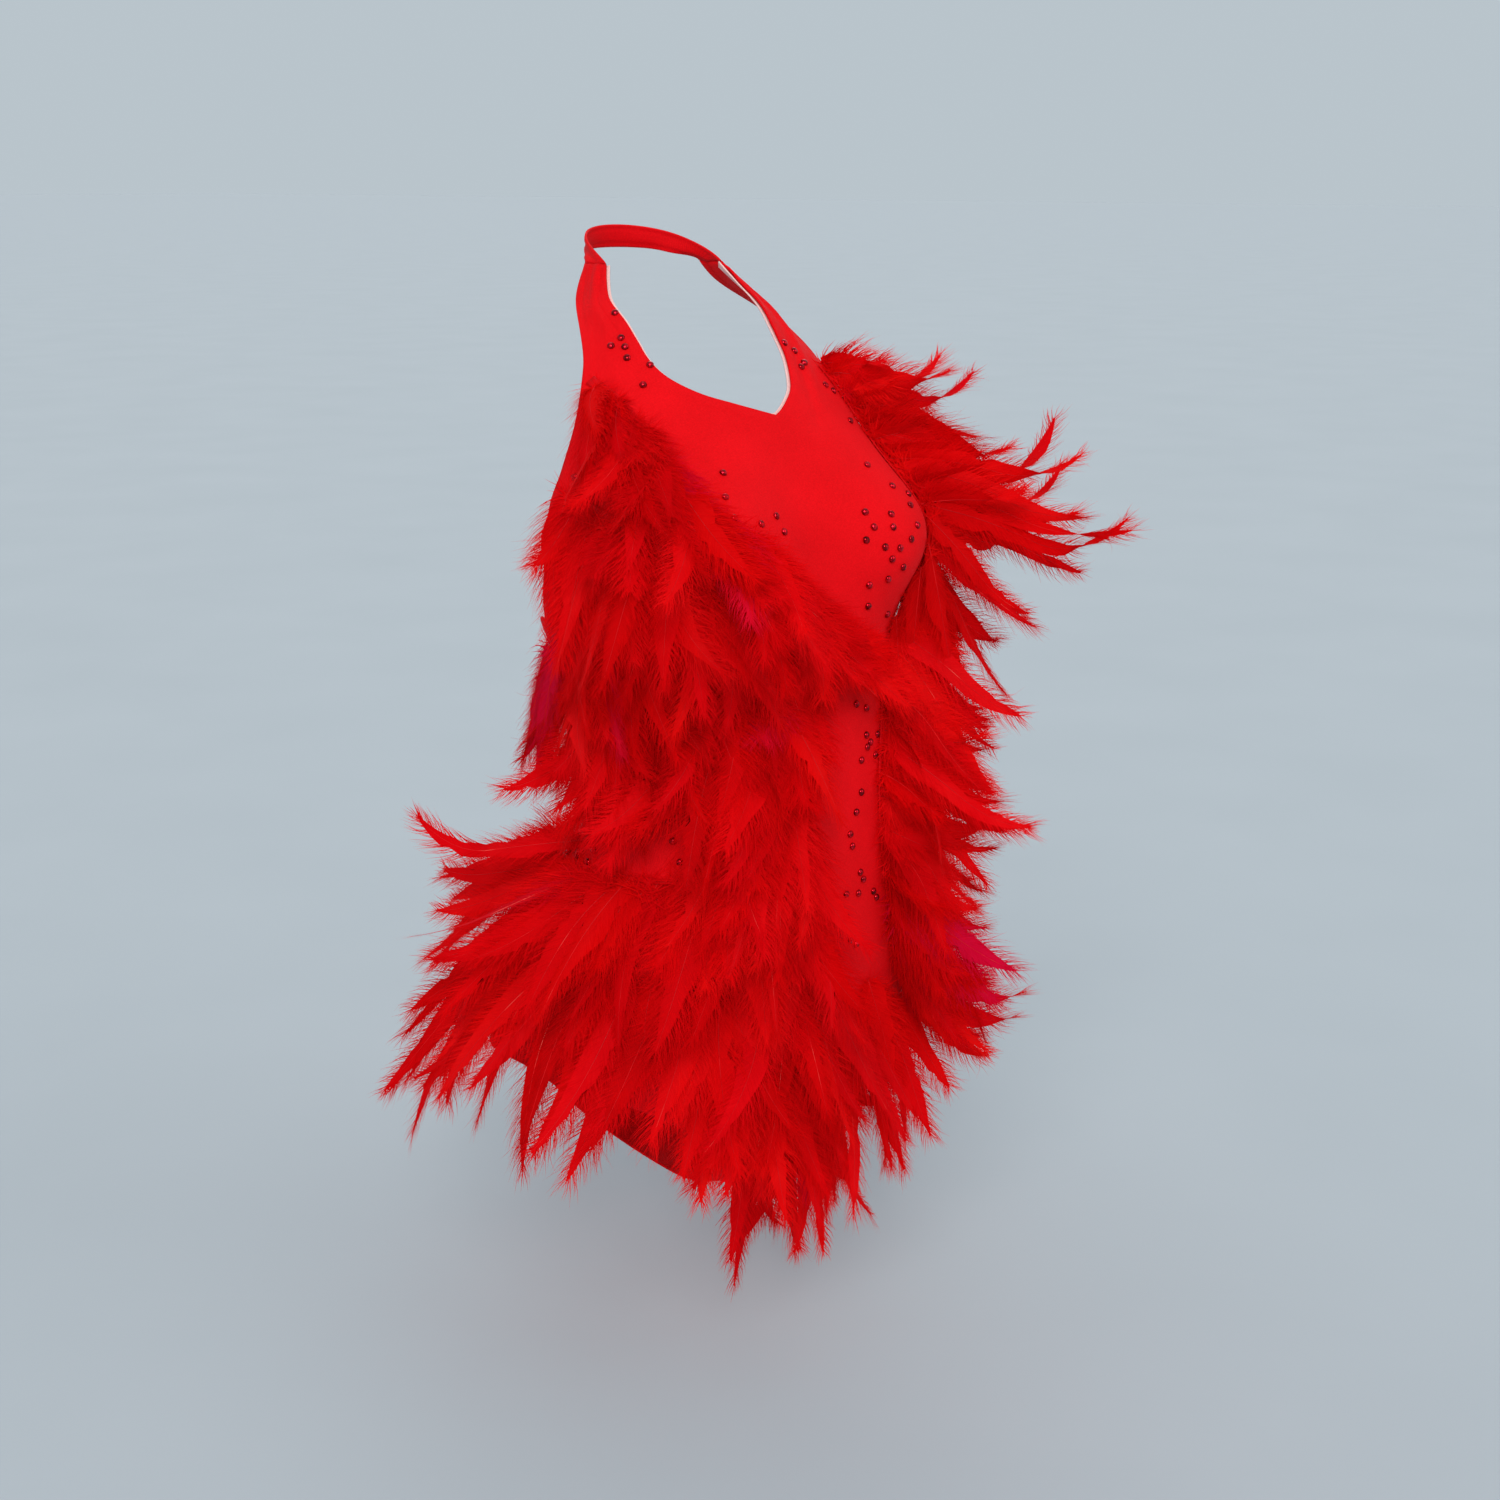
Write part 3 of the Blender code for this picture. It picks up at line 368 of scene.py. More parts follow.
# Single feathers: long ones that stand out from their trims, and ones that close a line or
# hang over the cloth. SINGLE_LIKE is what they have in common
SINGLE_COLUMNS = "angle z heading length lift droop hook width pink"
SINGLE_LIKE = {"tone": 0.6, "plume": 0.8}
SINGLE_FEATHERS = {
    "trim_hip_upper": table(
        SINGLE_COLUMNS,
        (-94, -0.376, -64, 0.122, 46, 0.10, 1.5, 0.95, 0.05),
        (-88, -0.394, -40, 0.125, 40, 0.10, 0.4, 0.85, 0.3),
    ),
    "trim_left_upper": table(
        SINGLE_COLUMNS,
        (46, -0.170, 26, 0.185, 50, 0.5, 1.7, 0.85, 0.0),
        (52, -0.100, 56, 0.120, 36, 0.4, 1.5, 0.80, 0.1),
        (43, -0.176, 30, 0.115, 26, 0.5, 0.9, 0.90, 0.0),
        (41, -0.192, 20, 0.105, 20, 0.4, 0.6, 1.00, 0.0),
        (40, -0.206, 16, 0.105, 18, 0.4, 0.5, 1.00, 0.0),
        (40, -0.221, 22, 0.105, 20, 0.4, 0.6, 1.00, 0.0),
        (39, -0.238, 18, 0.100, 20, 0.4, 0.5, 1.00, 0.0),
        *((angle, z, heading, 0.060, lift, 0.3, 0.2, 1.10, 0.0) for angle, z, heading, lift in (
            (55, -0.112, 44, 18), (54, -0.124, 40, 18), (53, -0.136, 40, 18), (51, -0.148, 36, 16),
            (49, -0.160, 30, 16), (47, -0.172, 26, 14), (46, -0.186, 20, 12), (45, -0.200, 16, 12),
            (44, -0.216, 16, 12),
        )),
    ),
    "trim_left_lower": table(
        SINGLE_COLUMNS,
        (44, -0.240, 44, 0.140, 40, 0.8, 1.3, 0.9, 0.1),
        (37, -0.322, 42, 0.130, 40, 0.7, 1.5, 0.9, 0.0),
        (36, -0.430, 40, 0.110, 40, 0.2, 0.4, 1.15, 0.95),
        (37, -0.445, 36, 0.105, 36, 0.3, 0.4, 1.10, 0.85),
        (44, -0.482, 52, 0.105, 44, 0.3, 1.3, 1.00, 0.0),
        (46, -0.500, 50, 0.100, 42, 0.3, 1.2, 1.05, 0.1),
        (48, -0.516, 40, 0.090, 36, 0.4, 0.9, 1.00, 0.0),
        (40, -0.512, 24, 0.085, 30, 0.4, 0.5, 1.00, 0.0),
        (30, -0.500, 16, 0.085, 22, 0.4, 0.3, 1.00, 0.0),
        (24, -0.486, 12, 0.080, 18, 0.4, 0.2, 1.00, 0.0),
    ),
    "trim_rib": table(
        SINGLE_COLUMNS,
        (-104, -0.250, -26, 0.092, 22, 0.4, 0.2, 1.0, 0.9),
        (-96, -0.246, -18, 0.098, 20, 0.4, 0.1, 1.0, 0.8),
        (-112, -0.262, -26, 0.072, 28, 0.3, 0.4, 0.9, 0.9),
    ),
}

# Stones: their size, a ring's reach and height as shares of it, and by where each is seen in
# the picture
STONE_WIDTH, STONE_HEIGHT, STONE_SINK = 0.0052, 0.0021, 0.0001
STONE_RINGS = ((0.46, 0.0), (0.50, 0.22), (0.50, 0.36), (0.38, 0.76), (0.20, 1.0))
STONES = (
    # near strap
    (615, 313), (621, 338), (611, 346), (625, 347), (627, 358), (650, 365), (643, 385),
    # near breast
    (683, 474), (676, 484), (689, 487), (723, 473), (725, 497), (734, 518), (761, 524),
    (776, 516), (784, 532), (794, 584), (812, 588), (815, 611), (575, 477),
    # far strap
    (784, 343), (794, 351), (804, 363), (801, 367), (825, 385), (833, 391), (850, 421),
    (858, 417), (874, 433), (884, 450), (894, 455), (895, 465), (906, 470), (918, 482),
    # far breast
    (867, 465), (892, 486), (908, 494), (910, 505), (925, 509), (865, 512), (891, 514),
    (874, 527), (893, 527), (917, 525), (866, 540), (911, 539), (885, 547), (900, 548),
    (892, 559), (903, 567), (888, 579), (869, 585), (868, 606), (887, 614),
    # far side
    (862, 683), (873, 684), (856, 704), (866, 708), (866, 735), (877, 734), (870, 742),
    (867, 747), (875, 755), (861, 760), (861, 792), (856, 812), (850, 834), (852, 846),
    (860, 872), (863, 879), (846, 894), (858, 893), (873, 891), (876, 897), (837, 918),
    (846, 917), (848, 927), (840, 937), (850, 940), (856, 944), (833, 996), (828, 1016),
    # middle
    (800, 693), (820, 708), (809, 715), (811, 898),
    # near waist
    (569, 851), (578, 855), (594, 850), (588, 862), (580, 870), (658, 822), (668, 820),
    (688, 814), (694, 830), (673, 841), (700, 849), (680, 862), (688, 869),
)


def between(rows, place, column, value):
    """A smooth curve through the rows' column, read at values of their place column."""
    places, values = rows[place], rows[column]
    way = 1.0 if places[-1] > places[0] else -1.0
    value = np.clip(np.asarray(value, float), places.min(), places.max())
    index = np.searchsorted(places[1:-1] * way, value * way, side="left")
    each = np.arange(len(places))
    low, high = np.maximum(each - 1, 0), np.minimum(each + 1, len(places) - 1)
    slope = (values[high] - values[low]) / (places[high] - places[low])
    span = places[index + 1] - places[index]
    share = (value - places[index]) / span
    square, cube = share ** 2, share ** 3
    return (
        (2 * cube - 3 * square + 1) * values[index]
        + (cube - 2 * square + share) * span * slope[index]
        + (3 * square - 2 * cube) * values[index + 1]
        + (cube - square) * span * slope[index + 1]
    )


def radius(angle, z):
    """How far the figure and its cups reach out from the middle of their section."""
    across, ahead = np.sin(np.radians(angle)), np.cos(np.radians(angle))
    depth = np.where(ahead > 0, between(FIGURE, "z", "front", z), between(FIGURE, "z", "back", z))
    power = between(FIGURE, "z", "square", z)
    width = between(FIGURE, "z", "half_width", z)
    section = (np.abs(across / width) ** power + np.abs(ahead / depth) ** power) ** (-1 / power)
    for side in (-1, 1):
        turn = ((angle - side * CUP_ANGLE + 180) % 360 - 180) / CUP_WIDTH_ANGLE
        rise = (z - CUP_HEIGHT) / CUP_WIDTH_HEIGHT
        section = section + CUP_DEPTH * np.exp(-turn * turn - rise * rise)
    return section


def figure(angle, z):
    """Points on the figure. The angle is 0 in front and grows to the wearer's left."""
    angle, z = np.broadcast_arrays(np.asarray(angle, float), np.asarray(z, float))
    reach = radius(angle, z)
    across, ahead = np.sin(np.radians(angle)), np.cos(np.radians(angle))
    return np.stack([reach * across, between(FIGURE, "z", "centre_y", z) - reach * ahead, z], -1)


def unit(v):
    return v / np.maximum(np.linalg.norm(v, axis=-1, keepdims=True), 1e-12)


def frame_at(angle, z):
    """Points, unit vectors to the wearer's left, down the cloth, and normals."""
    left = unit(figure(angle + 1.0, z) - figure(angle - 1.0, z))
    down = unit(figure(angle, z - 0.002) - figure(angle, z + 0.002))
    return figure(angle, z), left, down, unit(np.cross(down, left))


def place_of(points):
    """Angle and height of points near the figure, and how far outside it they lie."""
    z = points[..., 2]
    x, y = points[..., 0], points[..., 1] - between(FIGURE, "z", "centre_y", z)
    angle = np.degrees(np.arctan2(x, -y))
    out = np.stack([x, y, np.zeros_like(x)], -1)
    return angle, z, np.hypot(x, y) - radius(angle, z), unit(out)


def crease_height(angle, z):
    """How far the creases raise the cloth at these places."""
    total = np.zeros(np.broadcast(angle, z).shape)
    scale = math.radians(CREASE_RADIUS)
    for a1, az, a2, bz, width, height in zip(*CREASES.values()):
        ax, bx = a1 * scale, (a1 + ((a2 - a1 + 180) % 360 - 180)) * scale
        px = (a1 + ((angle - a1 + 180) % 360 - 180)) * scale
        long2 = (bx - ax) ** 2 + (bz - az) ** 2
        share = ((px - ax) * (bx - ax) + (z - az) * (bz - az)) / long2
        held = np.clip(share, 0, 1)
        off = np.hypot(px - ax - held * (bx - ax), z - az - held * (bz - az))
        fade = np.sin(math.pi * np.clip(held * 0.9 + 0.05, 0, 1)) ** 0.6
        total += height * fade * np.exp(-(off / width) ** 2)
    return total


def gap_angle(z):
    return np.degrees(SEAM_GAP / 2 / radius(SIDE_SEAM_ANGLE, z))


def front_edges(z):
    """The angles at which the front panel's two sides start and end, from right to left."""
    if z > UNDERARM:
        outer = float(between(ARMHOLE, "z", "angle", z))
    elif z > SIDE_LEG:
        outer = SIDE_SEAM_ANGLE
    else:
        outer = float(between(FRONT_LEG, "z", "angle", z))
    outer = min(outer, SIDE_SEAM_ANGLE - float(gap_angle(z)))
    if z > CUSP_HEIGHT:
        right, left = (float(between(NECKLINE, "z", side, z)) for side in ("right", "left"))
        return -outer, -right, left, outer
    centre = CUSP_ANGLE * max(0.0, 1 - (CUSP_HEIGHT - z) / CUSP_FADE)
    return -outer, centre, centre, outer


def back_edges(z):
    """The same for the back panel, from the side seams to the scoop or the middle."""
    outer = SIDE_SEAM_ANGLE if z > SIDE_LEG else float(between(BACK_LEG, "z", "angle", z))
    outer = max(outer, SIDE_SEAM_ANGLE + float(gap_angle(z)))
    inner = float(between(BACK_SCOOP, "z", "angle", z)) if z > BACK_SCOOP["z"][-1] else 180.0
    return -outer, -inner, inner, outer


def finer(heights, per_row):
    fine = []
    for one, two in zip(heights, heights[1:]):
        fine += [one + (two - one) * step / per_row for step in range(per_row)]
    return fine + [heights[-1]]


def under_row(row, turn, seam_y):
    """The last row on the torso, carried round under the crotch by a turn of 0 to 90."""
    middle, edge = row[len(row) // 2], row[0]
    along, drop = math.cos(math.radians(turn)), math.sin(math.radians(turn))
    side = (row[:, 1] - middle[1]) / (edge[1] - middle[1])
    narrow = 1 + (CROTCH_HALF_WIDTH / abs(edge[0]) - 1) * drop
    y_middle = seam_y + (middle[1] - seam_y) * along
    y_edge = seam_y + (edge[1] - seam_y) * along
    z_middle = middle[2] + (CROTCH_Z - middle[2]) * drop
    z_edge = edge[2] + (CROTCH_EDGE_Z - edge[2]) * drop
    return np.stack([
        row[:, 0] * narrow, y_middle + side * (y_edge - y_middle),
        z_middle + side * (z_edge - z_middle),
    ], -1)


def spread(first, last, cells):
    return first + (last - first) * np.arange(cells + 1) / cells


def new_mesh(name, verts, faces):
    """A smooth mesh from an array of points and one or more arrays of faces."""
    mesh = bpy.data.meshes.new(name)
    mesh.vertices.add(len(verts))
    mesh.vertices.foreach_set("co", np.asarray(verts, np.float32).ravel())
    loops = np.concatenate([f.ravel() for f in faces])
    sizes = np.concatenate([np.full(len(f), f.shape[1]) for f in faces])
    starts = np.concatenate([[0], np.cumsum(sizes)[:-1]])
    mesh.loops.add(len(loops))
    mesh.loops.foreach_set("vertex_index", loops.astype(np.int32))
    mesh.polygons.add(len(sizes))
    mesh.polygons.foreach_set("loop_start", starts.astype(np.int32))
    mesh.polygons.foreach_set("use_smooth", np.ones(len(sizes), bool))
    mesh.update(calc_edges=True)
    mesh.validate()
    return mesh


def run_of(points):
    """How far along a line each of its points is."""
    return np.concatenate([[0], np.cumsum(np.linalg.norm(np.diff(points, axis=0), axis=1))])


def add_piece(name, verts, faces, materials, slot, replaces=()):
    """A visible piece that rides on the root, and the solids it stands for."""
    mesh = new_mesh(name, verts, faces)
    obj = bpy.data.objects.new(name, mesh)
    bpy.context.scene.collection.objects.link(obj)
    for surface in materials:
        mesh.materials.append(surface)
    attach(obj, "root")
    if replaces:
        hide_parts(*replaces)
    return obj


def flat_normals(verts, faces):
    """The normals of four-sided faces, each as long as twice its face's area."""
    corners = np.asarray(verts)[faces]
    return np.cross(corners[:, 2] - corners[:, 0], corners[:, 3] - corners[:, 1])


def area_of(verts, faces):
    return float(np.linalg.norm(flat_normals(verts, faces), axis=1).sum() / 2)


def panel(heights, edges, cells, seam_y):
    """A cloth panel's points and faces, and the points along its edges."""
    verts, faces, rows = [], [], []
    for z in finer(heights, ROWS_PER_ROW):
        right_outer, right_inner, left_inner, left_outer = edges(z)
        closed = abs(math.sin(math.radians(left_inner - right_inner) / 2)) < 1e-6
        right = figure(spread(right_outer, right_inner, cells), z)
        left = figure(spread(left_inner, left_outer, cells), z)
        rows.append((right, left, closed))
    whole = np.concatenate([rows[-1][0], rows[-1][1][1:]])
    for step in range(1, CROTCH_ROWS + 1):
        under = under_row(whole, 90 * step / CROTCH_ROWS, seam_y)
        rows.append((under[:cells + 1], under[cells:], True))
    last = None
    for right, left, closed in rows:
        first = len(verts) + np.arange(cells + 1)
        here = (first, first + (cells if closed else cells + 1))
        verts += list(right) + list(left[1 if closed else 0:])
        if last:
            faces += [
                np.stack([above[:-1], below[:-1], below[1:], above[1:]], -1)
                for above, below in zip(last, here)
            ]
        last = here
    sides = {
        "right_outer": [row[0][0] for row in rows], "left_outer": [row[1][-1] for row in rows],
        "right_inner": [row[0][-1] for row in rows if not row[2]],
        "left_inner": [row[1][0] for row in rows if not row[2]],
    }
    return np.array(verts), np.concatenate(faces), sides


def tree_of(points):
    tree = KDTree(len(points))
    for index, point in enumerate(points):
        tree.insert(Vector(point), index)
    tree.balance()
    return tree


def normals_of(verts, faces):
    flat = flat_normals(verts, faces)
    total = np.zeros_like(verts)
    for corner in range(4):
        np.add.at(total, faces[:, corner], flat)
    return unit(total)


def dress_cloth(verts, faces, hems, seams):
    """Raises the creases and the turned hems, and sinks the seams, along the cloth's normals."""
    normals = normals_of(verts, faces)
    outward = (normals * (verts - np.array([0, CROTCH_Y, 0]) - verts * np.array([0, 0, 1]))).sum()
    if outward < 0:
        normals = -normals
        faces = faces[:, ::-1]
    angle, z, _, _ = place_of(verts)
    rise = crease_height(angle, z) * np.clip((z - CREASE_END) / CREASE_FADE, 0, 1)
    hem_tree, seam_tree = tree_of(hems), tree_of(seams)
    for index, vert in enumerate(verts):
        near = hem_tree.find(Vector(vert))[2]
        share = min(max((HEM_WIDTH + HEM_STEP - near) / HEM_STEP, 0.0), 1.0)
        rise[index] += HEM_RISE * share * share * (3 - 2 * share)
        near = seam_tree.find(Vector(vert))[2]
        rise[index] -= SEAM_SINK * math.exp(-((near / SEAM_REACH) ** 2))
    return verts + normals * rise[:, None], faces


def thicken(obj, thickness, side):
    wall = obj.modifiers.new("wall", "SOLIDIFY")
    wall.thickness = thickness
    wall.offset = side
    wall.use_rim = True


# Materials


def node(tree, kind, **values):
    made = tree.nodes.new(kind)
    for key, value in values.items():
        if key in made.inputs:
            made.inputs[key].default_value = value
        else:
            setattr(made, key, value)
    return made


def material(name, finish):
    """A Principled material with this finish: the shader's inputs by name."""
    made = bpy.data.materials.new(name)
    made.use_nodes = True
    tree = made.node_tree
    tree.nodes.clear()
    shader = node(tree, "ShaderNodeBsdfPrincipled", **finish)
    out = node(tree, "ShaderNodeOutputMaterial")
    tree.links.new(shader.outputs[0], out.inputs["Surface"])
    return made, tree, shader, out


def reading(tree, kind, output="Fac", vector=None, **values):
    """One output of a node that is fed the place on the object, or a given vector."""
    made = node(tree, kind, **values)
    if vector is None:
        vector = node(tree, "ShaderNodeTexCoord").outputs["Object"]
    tree.links.new(vector, made.inputs["Vector"])
    return made.outputs[output]


def ramp(tree, source, *stops):
    made = node(tree, "ShaderNodeValToRGB")
    elements = made.color_ramp.elements
    while len(elements) < len(stops):
        elements.new(0.5)
    for element, (place, colour) in zip(elements, stops):
        element.position = place
        element.color = (*colour, 1.0)
    tree.links.new(source, made.inputs[0])
    return made.outputs[0]


def math_node(tree, operation, a, b):
    made = node(tree, "ShaderNodeMath", operation=operation)
    for socket, value in zip(made.inputs, (a, b)):
        if isinstance(value, float):
            socket.default_value = value
        else:
            tree.links.new(value, socket)
    return made.outputs[0]


def blend(tree, *parts):
    """The sum of some outputs, each times its share."""
    total = 0.0
    for output, share in parts:
        total = math_node(tree, "ADD", total, math_node(tree, "MULTIPLY", output, share))
    return total


def add_bump(tree, shader, height, strength, distance):
    bump = node(tree, "ShaderNodeBump", Strength=strength, Distance=distance)
    tree.links.new(height, bump.inputs["Height"])
    tree.links.new(bump.outputs[0], shader.inputs["Normal"])


def cloth_material(name, dark, plain, light, rough, sheen, tint):
    """Fine stretch knit: rows of tiny stitches, a little uneven, with soft wear in its colour."""
    made, tree, shader, _ = material(name, {
        "Roughness": rough, "Specular IOR Level": 0.07,
        "Sheen Weight": sheen, "Sheen Roughness": 0.45, "Sheen Tint": (*tint, 1.0),
    })
    broad = reading(tree, "ShaderNodeTexNoise", Scale=22.0, Detail=3.0, Roughness=0.55)
    fine = reading(tree, "ShaderNodeTexNoise", Scale=900.0, Detail=2.0, Roughness=0.6)
    wave = "ShaderNodeTexWave"
    knit = reading(tree, wave, Scale=520.0, Distortion=1.5, Detail=1.0, bands_direction="Z")
    ribs = reading(tree, wave, Scale=460.0, Distortion=2.0, Detail=1.0, bands_direction="X")
    grain = math_node(tree, "MULTIPLY", knit, ribs)
    tone = blend(tree, (grain, 0.30), (fine, 0.55), (broad, 0.45))
    colour = ramp(tree, tone, (0.30, dark), (0.62, plain), (0.95, light))
    tree.links.new(colour, shader.inputs["Base Color"])
    add_bump(tree, shader, blend(tree, (grain, 0.6), (fine, 0.5)), 0.35, 0.0004)
    return made


def feather_material(name):
    """Dyed barbs: each feather's own tone, with painted shade towards its root, streaked, and lit through.
    """
    made, tree, shader, out = material(name, {
        "Roughness": 0.78, "Specular IOR Level": 0.05,
        "Sheen Weight": 0.18, "Sheen Roughness": 0.4, "Sheen Tint": (1.0, 0.01, 0.01, 1.0),
    })
    links = tree.links.new
    # The tone attribute carries each feather's own tone, plus painted shade near its root and where each
    # barb leaves it.
    tone, pink, barb = (
        node(tree, "ShaderNodeAttribute", attribute_name=key).outputs[output]
        for key, output in (("tone", "Fac"), ("pink", "Fac"), ("barb", "Vector"))
    )
    broad = reading(tree, "ShaderNodeTexNoise", Scale=30.0, Detail=3.0, Roughness=0.6)
    stretch = reading(tree, "ShaderNodeMapping", "Vector", barb, Scale=BARB_STRETCH)
    streak = reading(
        tree, "ShaderNodeTexNoise", "Fac", stretch, Scale=1.0, Detail=3.0, Roughness=0.6
    )
    spread_out = blend(tree, (tone, 1.0), (broad, 0.5), (streak, 0.55))
    tone_and_painted_shade = math_node(tree, "SUBTRACT", spread_out, 0.525)
    red = ramp(
        tree, tone_and_painted_shade, (0.0, (0.36, 0.0, 0.0008)), (0.35, (0.62, 0.0, 0.0012)),
        (0.62, (0.80, 0.0004, 0.002)), (1.0, (0.93, 0.006, 0.005)),
    )
    crimson = ramp(
        tree, tone_and_painted_shade, (0.0, (0.34, 0.0, 0.010)), (0.5, (0.68, 0.0, 0.032)), (1.0, (0.86, 0.010, 0.075)),
    )
    mix = node(tree, "ShaderNodeMix", data_type="RGBA")
    for source, place in ((pink, 0), (red, 6), (crimson, 7)):
        links(source, mix.inputs[place])
    colour = mix.outputs[2]
    links(colour, shader.inputs["Base Color"])
    add_bump(tree, shader, streak, 0.30, 0.0005)
    through = node(tree, "ShaderNodeBsdfTranslucent")
    links(colour, through.inputs["Color"])
    both = node(tree, "ShaderNodeMixShader", Fac=0.42)
    links(shader.outputs[0], both.inputs[1])
    links(through.outputs[0], both.inputs[2])
    links(both.outputs[0], out.inputs["Surface"])
    return made


def plain_material(name, finish, kind, output, values, *stops):
    """A material coloured by one texture."""
    made, tree, shader, _ = material(name, finish)
    colour = ramp(tree, reading(tree, kind, output, **values), *stops)
    tree.links.new(colour, shader.inputs["Base Color"])
    return made


RED_CLOTH = cloth_material(
    "red_stretch_cloth", (0.54, 0.0003, 0.002), (0.72, 0.0008, 0.004), (0.88, 0.004, 0.009),
    0.70, 0.14, (1.0, 0.06, 0.07),
)
PALE_TAPE = cloth_material(
    "pale_facing_tape", (0.66, 0.34, 0.32), (0.86, 0.56, 0.52), (0.95, 0.72, 0.68),
    0.7, 0.2, (1.0, 0.8, 0.8),
)
THREAD = cloth_material(
    "sewing_thread", (0.44, 0.0, 0.002), (0.60, 0.0005, 0.003), (0.76, 0.003, 0.006),
    0.6, 0.0, (1.0, 0.05, 0.05),
)
FEATHER = feather_material("dyed_feather")
# The pale pink stop in the quills' colour is painted highlight; the rest is their own dark and mid red.
QUILL = plain_material(
    "feather_quill", {"Roughness": 0.55, "Specular IOR Level": 0.25},
    "ShaderNodeTexNoise", "Fac", {"Scale": 26.0, "Detail": 2.0},
    (0.50, (0.60, 0.0, 0.002)), (0.64, (0.80, 0.004, 0.006)), (0.76, (0.95, 0.16, 0.12)),
)
# The stones' colour holds painted light: each texture cell is bright red at its middle, a painted glint,
# and nearly black at its edges, painted shade between facets.
STONE = plain_material(
    "dark_red_stone_with_painted_glints",
    {"Metallic": 0.90, "Roughness": 0.10, "Coat Weight": 0.06, "Coat Roughness": 0.03},
    "ShaderNodeTexVoronoi", "Distance", {"Scale": 420.0},
    (0.0, (0.95, 0.01, 0.03)), (0.45, (0.42, 0.0, 0.008)), (0.9, (0.07, 0.0, 0.001)),
)


# Cloth


def build_panel(name, heights, edges, cells, seam_y, seam_top):
    """A dressed panel of cloth, the points along its edges, and its flat area."""
    verts, faces, sides = panel(heights, edges, cells, seam_y)
    outer = sides["right_outer"] + sides["left_outer"]
    seams = [point for point in outer if SIDE_LEG <= point[2] <= seam_top]
    hems = [point for point in outer if not SIDE_LEG <= point[2] <= seam_top]
    hems += sides["right_inner"] + sides["left_inner"]
    area = area_of(verts, faces)
    verts, faces = dress_cloth(verts, faces, hems, seams)
    obj = add_piece(name + "_cloth", verts, [faces], [RED_CLOTH], "stretch_cloth", [name + "_panel"])
    thicken(obj, CLOTH, 1)
    return obj, sides, area


half_seam = SEAM_GAP / 2
front, front_sides, front_area = build_panel(
    "front", FRONT_ROWS, front_edges, CELLS_FRONT, CROTCH_Y - half_seam, UNDERARM
)
back, back_sides, back_area = build_panel(
    "back", BACK_ROWS, back_edges, CELLS_BACK, CROTCH_Y + half_seam, UNDERARM - 0.001
)


def grid_faces(*shape):
    """Faces of grids of points. The last two numbers are a grid's rows and columns."""
    index = np.arange(math.prod(shape)).reshape(shape)
    above, below = index[..., :-1, :], index[..., 1:, :]
    corners = (above[..., :-1], below[..., :-1], below[..., 1:], above[..., 1:])
    return np.stack(corners, -1).reshape(-1, 4)


def neck_band():
    """The halter strap round the back of the neck, gathered a little at its ends."""
    right_outer, right_inner, left_inner, left_outer = front_edges(STRAP_TOP)
    verts = []
    for step in range(BAND_SECTIONS + 1):
        share = step / BAND_SECTIONS
        rise = math.sin(math.pi * share)
        low = right_outer + (left_outer - 360 - right_outer) * share
        high = right_inner + (left_inner - 360 - right_inner) * share
        low_z = STRAP_TOP + SEAM_GAP + BAND_LOWER_RISE * rise ** BAND_LOWER_POWER
        high_z = STRAP_TOP + SEAM_GAP + BAND_UPPER_RISE * rise ** BAND_RISE_POWER
        angles, heights = (spread(*ends, BAND_CELLS) for ends in ((low, high), (low_z, high_z)))
        point, _, _, normal = frame_at(angles, heights)
        across = np.arange(BAND_CELLS + 1) / BAND_CELLS
        from_end = (min(share, 1 - share) - 0.15) / 0.09
        fold = BAND_FOLD * np.sin(across * 9.0 + 1.5 * share) * (0.4 + abs(share - 0.5))
        fold -= BAND_HUG * (1 - across) * math.exp(-from_end ** 2)
        hem = HEM_RISE * (np.minimum(across, 1 - across) < 0.24)
        verts.append(point + normal * (fold + hem)[:, None])
    verts = np.concatenate(verts)
    faces = grid_faces(BAND_SECTIONS + 1, BAND_CELLS + 1)
    if (normals_of(verts, faces) * verts * np.array([1, 1, 0])).sum() < 0:
        faces = faces[:, ::-1]
    return verts, faces


band_verts, band_faces = neck_band()
band = add_piece(
    "neck_band_cloth", band_verts, [band_faces], [RED_CLOTH], "stretch_cloth", ["neck_band"]
)
thicken(band, CLOTH, 1)


def facing_strip():
    """The pale tape inside the neckline, with its folded edge just past the cloth's."""
    right = np.array(front_sides["right_inner"])
    left = np.array(front_sides["left_inner"])[::-1]
    edge = np.concatenate([right, left])
    along = unit(np.gradient(edge, axis=0))
    angle, z, _, _ = place_of(edge)
    normal = frame_at(angle, z)[3]
    toward = np.where(np.arange(len(edge)) < len(right), -2.0, 2.0)
    cloth_way = figure(angle + toward, z) - edge + np.array([0, 0, -0.004])
    inward = unit(np.cross(normal, along))
    inward *= np.sign((inward * cloth_way).sum(1, keepdims=True))
    rows = []
    for share in (0.0, 0.08, 0.2, 0.45, 0.7, 0.92, 1.0):
        reach = -FACING_LIP + (FACING_LIP + FACING_INSIDE) * share
        rows.append(edge - normal * FACING_GAP + inward * reach)
    verts = np.concatenate(rows)
    faces = grid_faces(len(rows), len(edge))
    if (normals_of(verts, faces) * np.tile(normal, (len(rows), 1))).sum() < 0:
        faces = faces[:, ::-1]
    return verts, [faces]


facing = add_piece(
    "neckline_facing_tape", *facing_strip(), [PALE_TAPE], "pale_tape", ["neckline_facing"]
)
thicken(facing, FACING, -1)


# Feathers


def across_way(out, way):
    """The part of a direction that stands across a way."""
    return unit(out - way * (out * way).sum(1, keepdims=True))


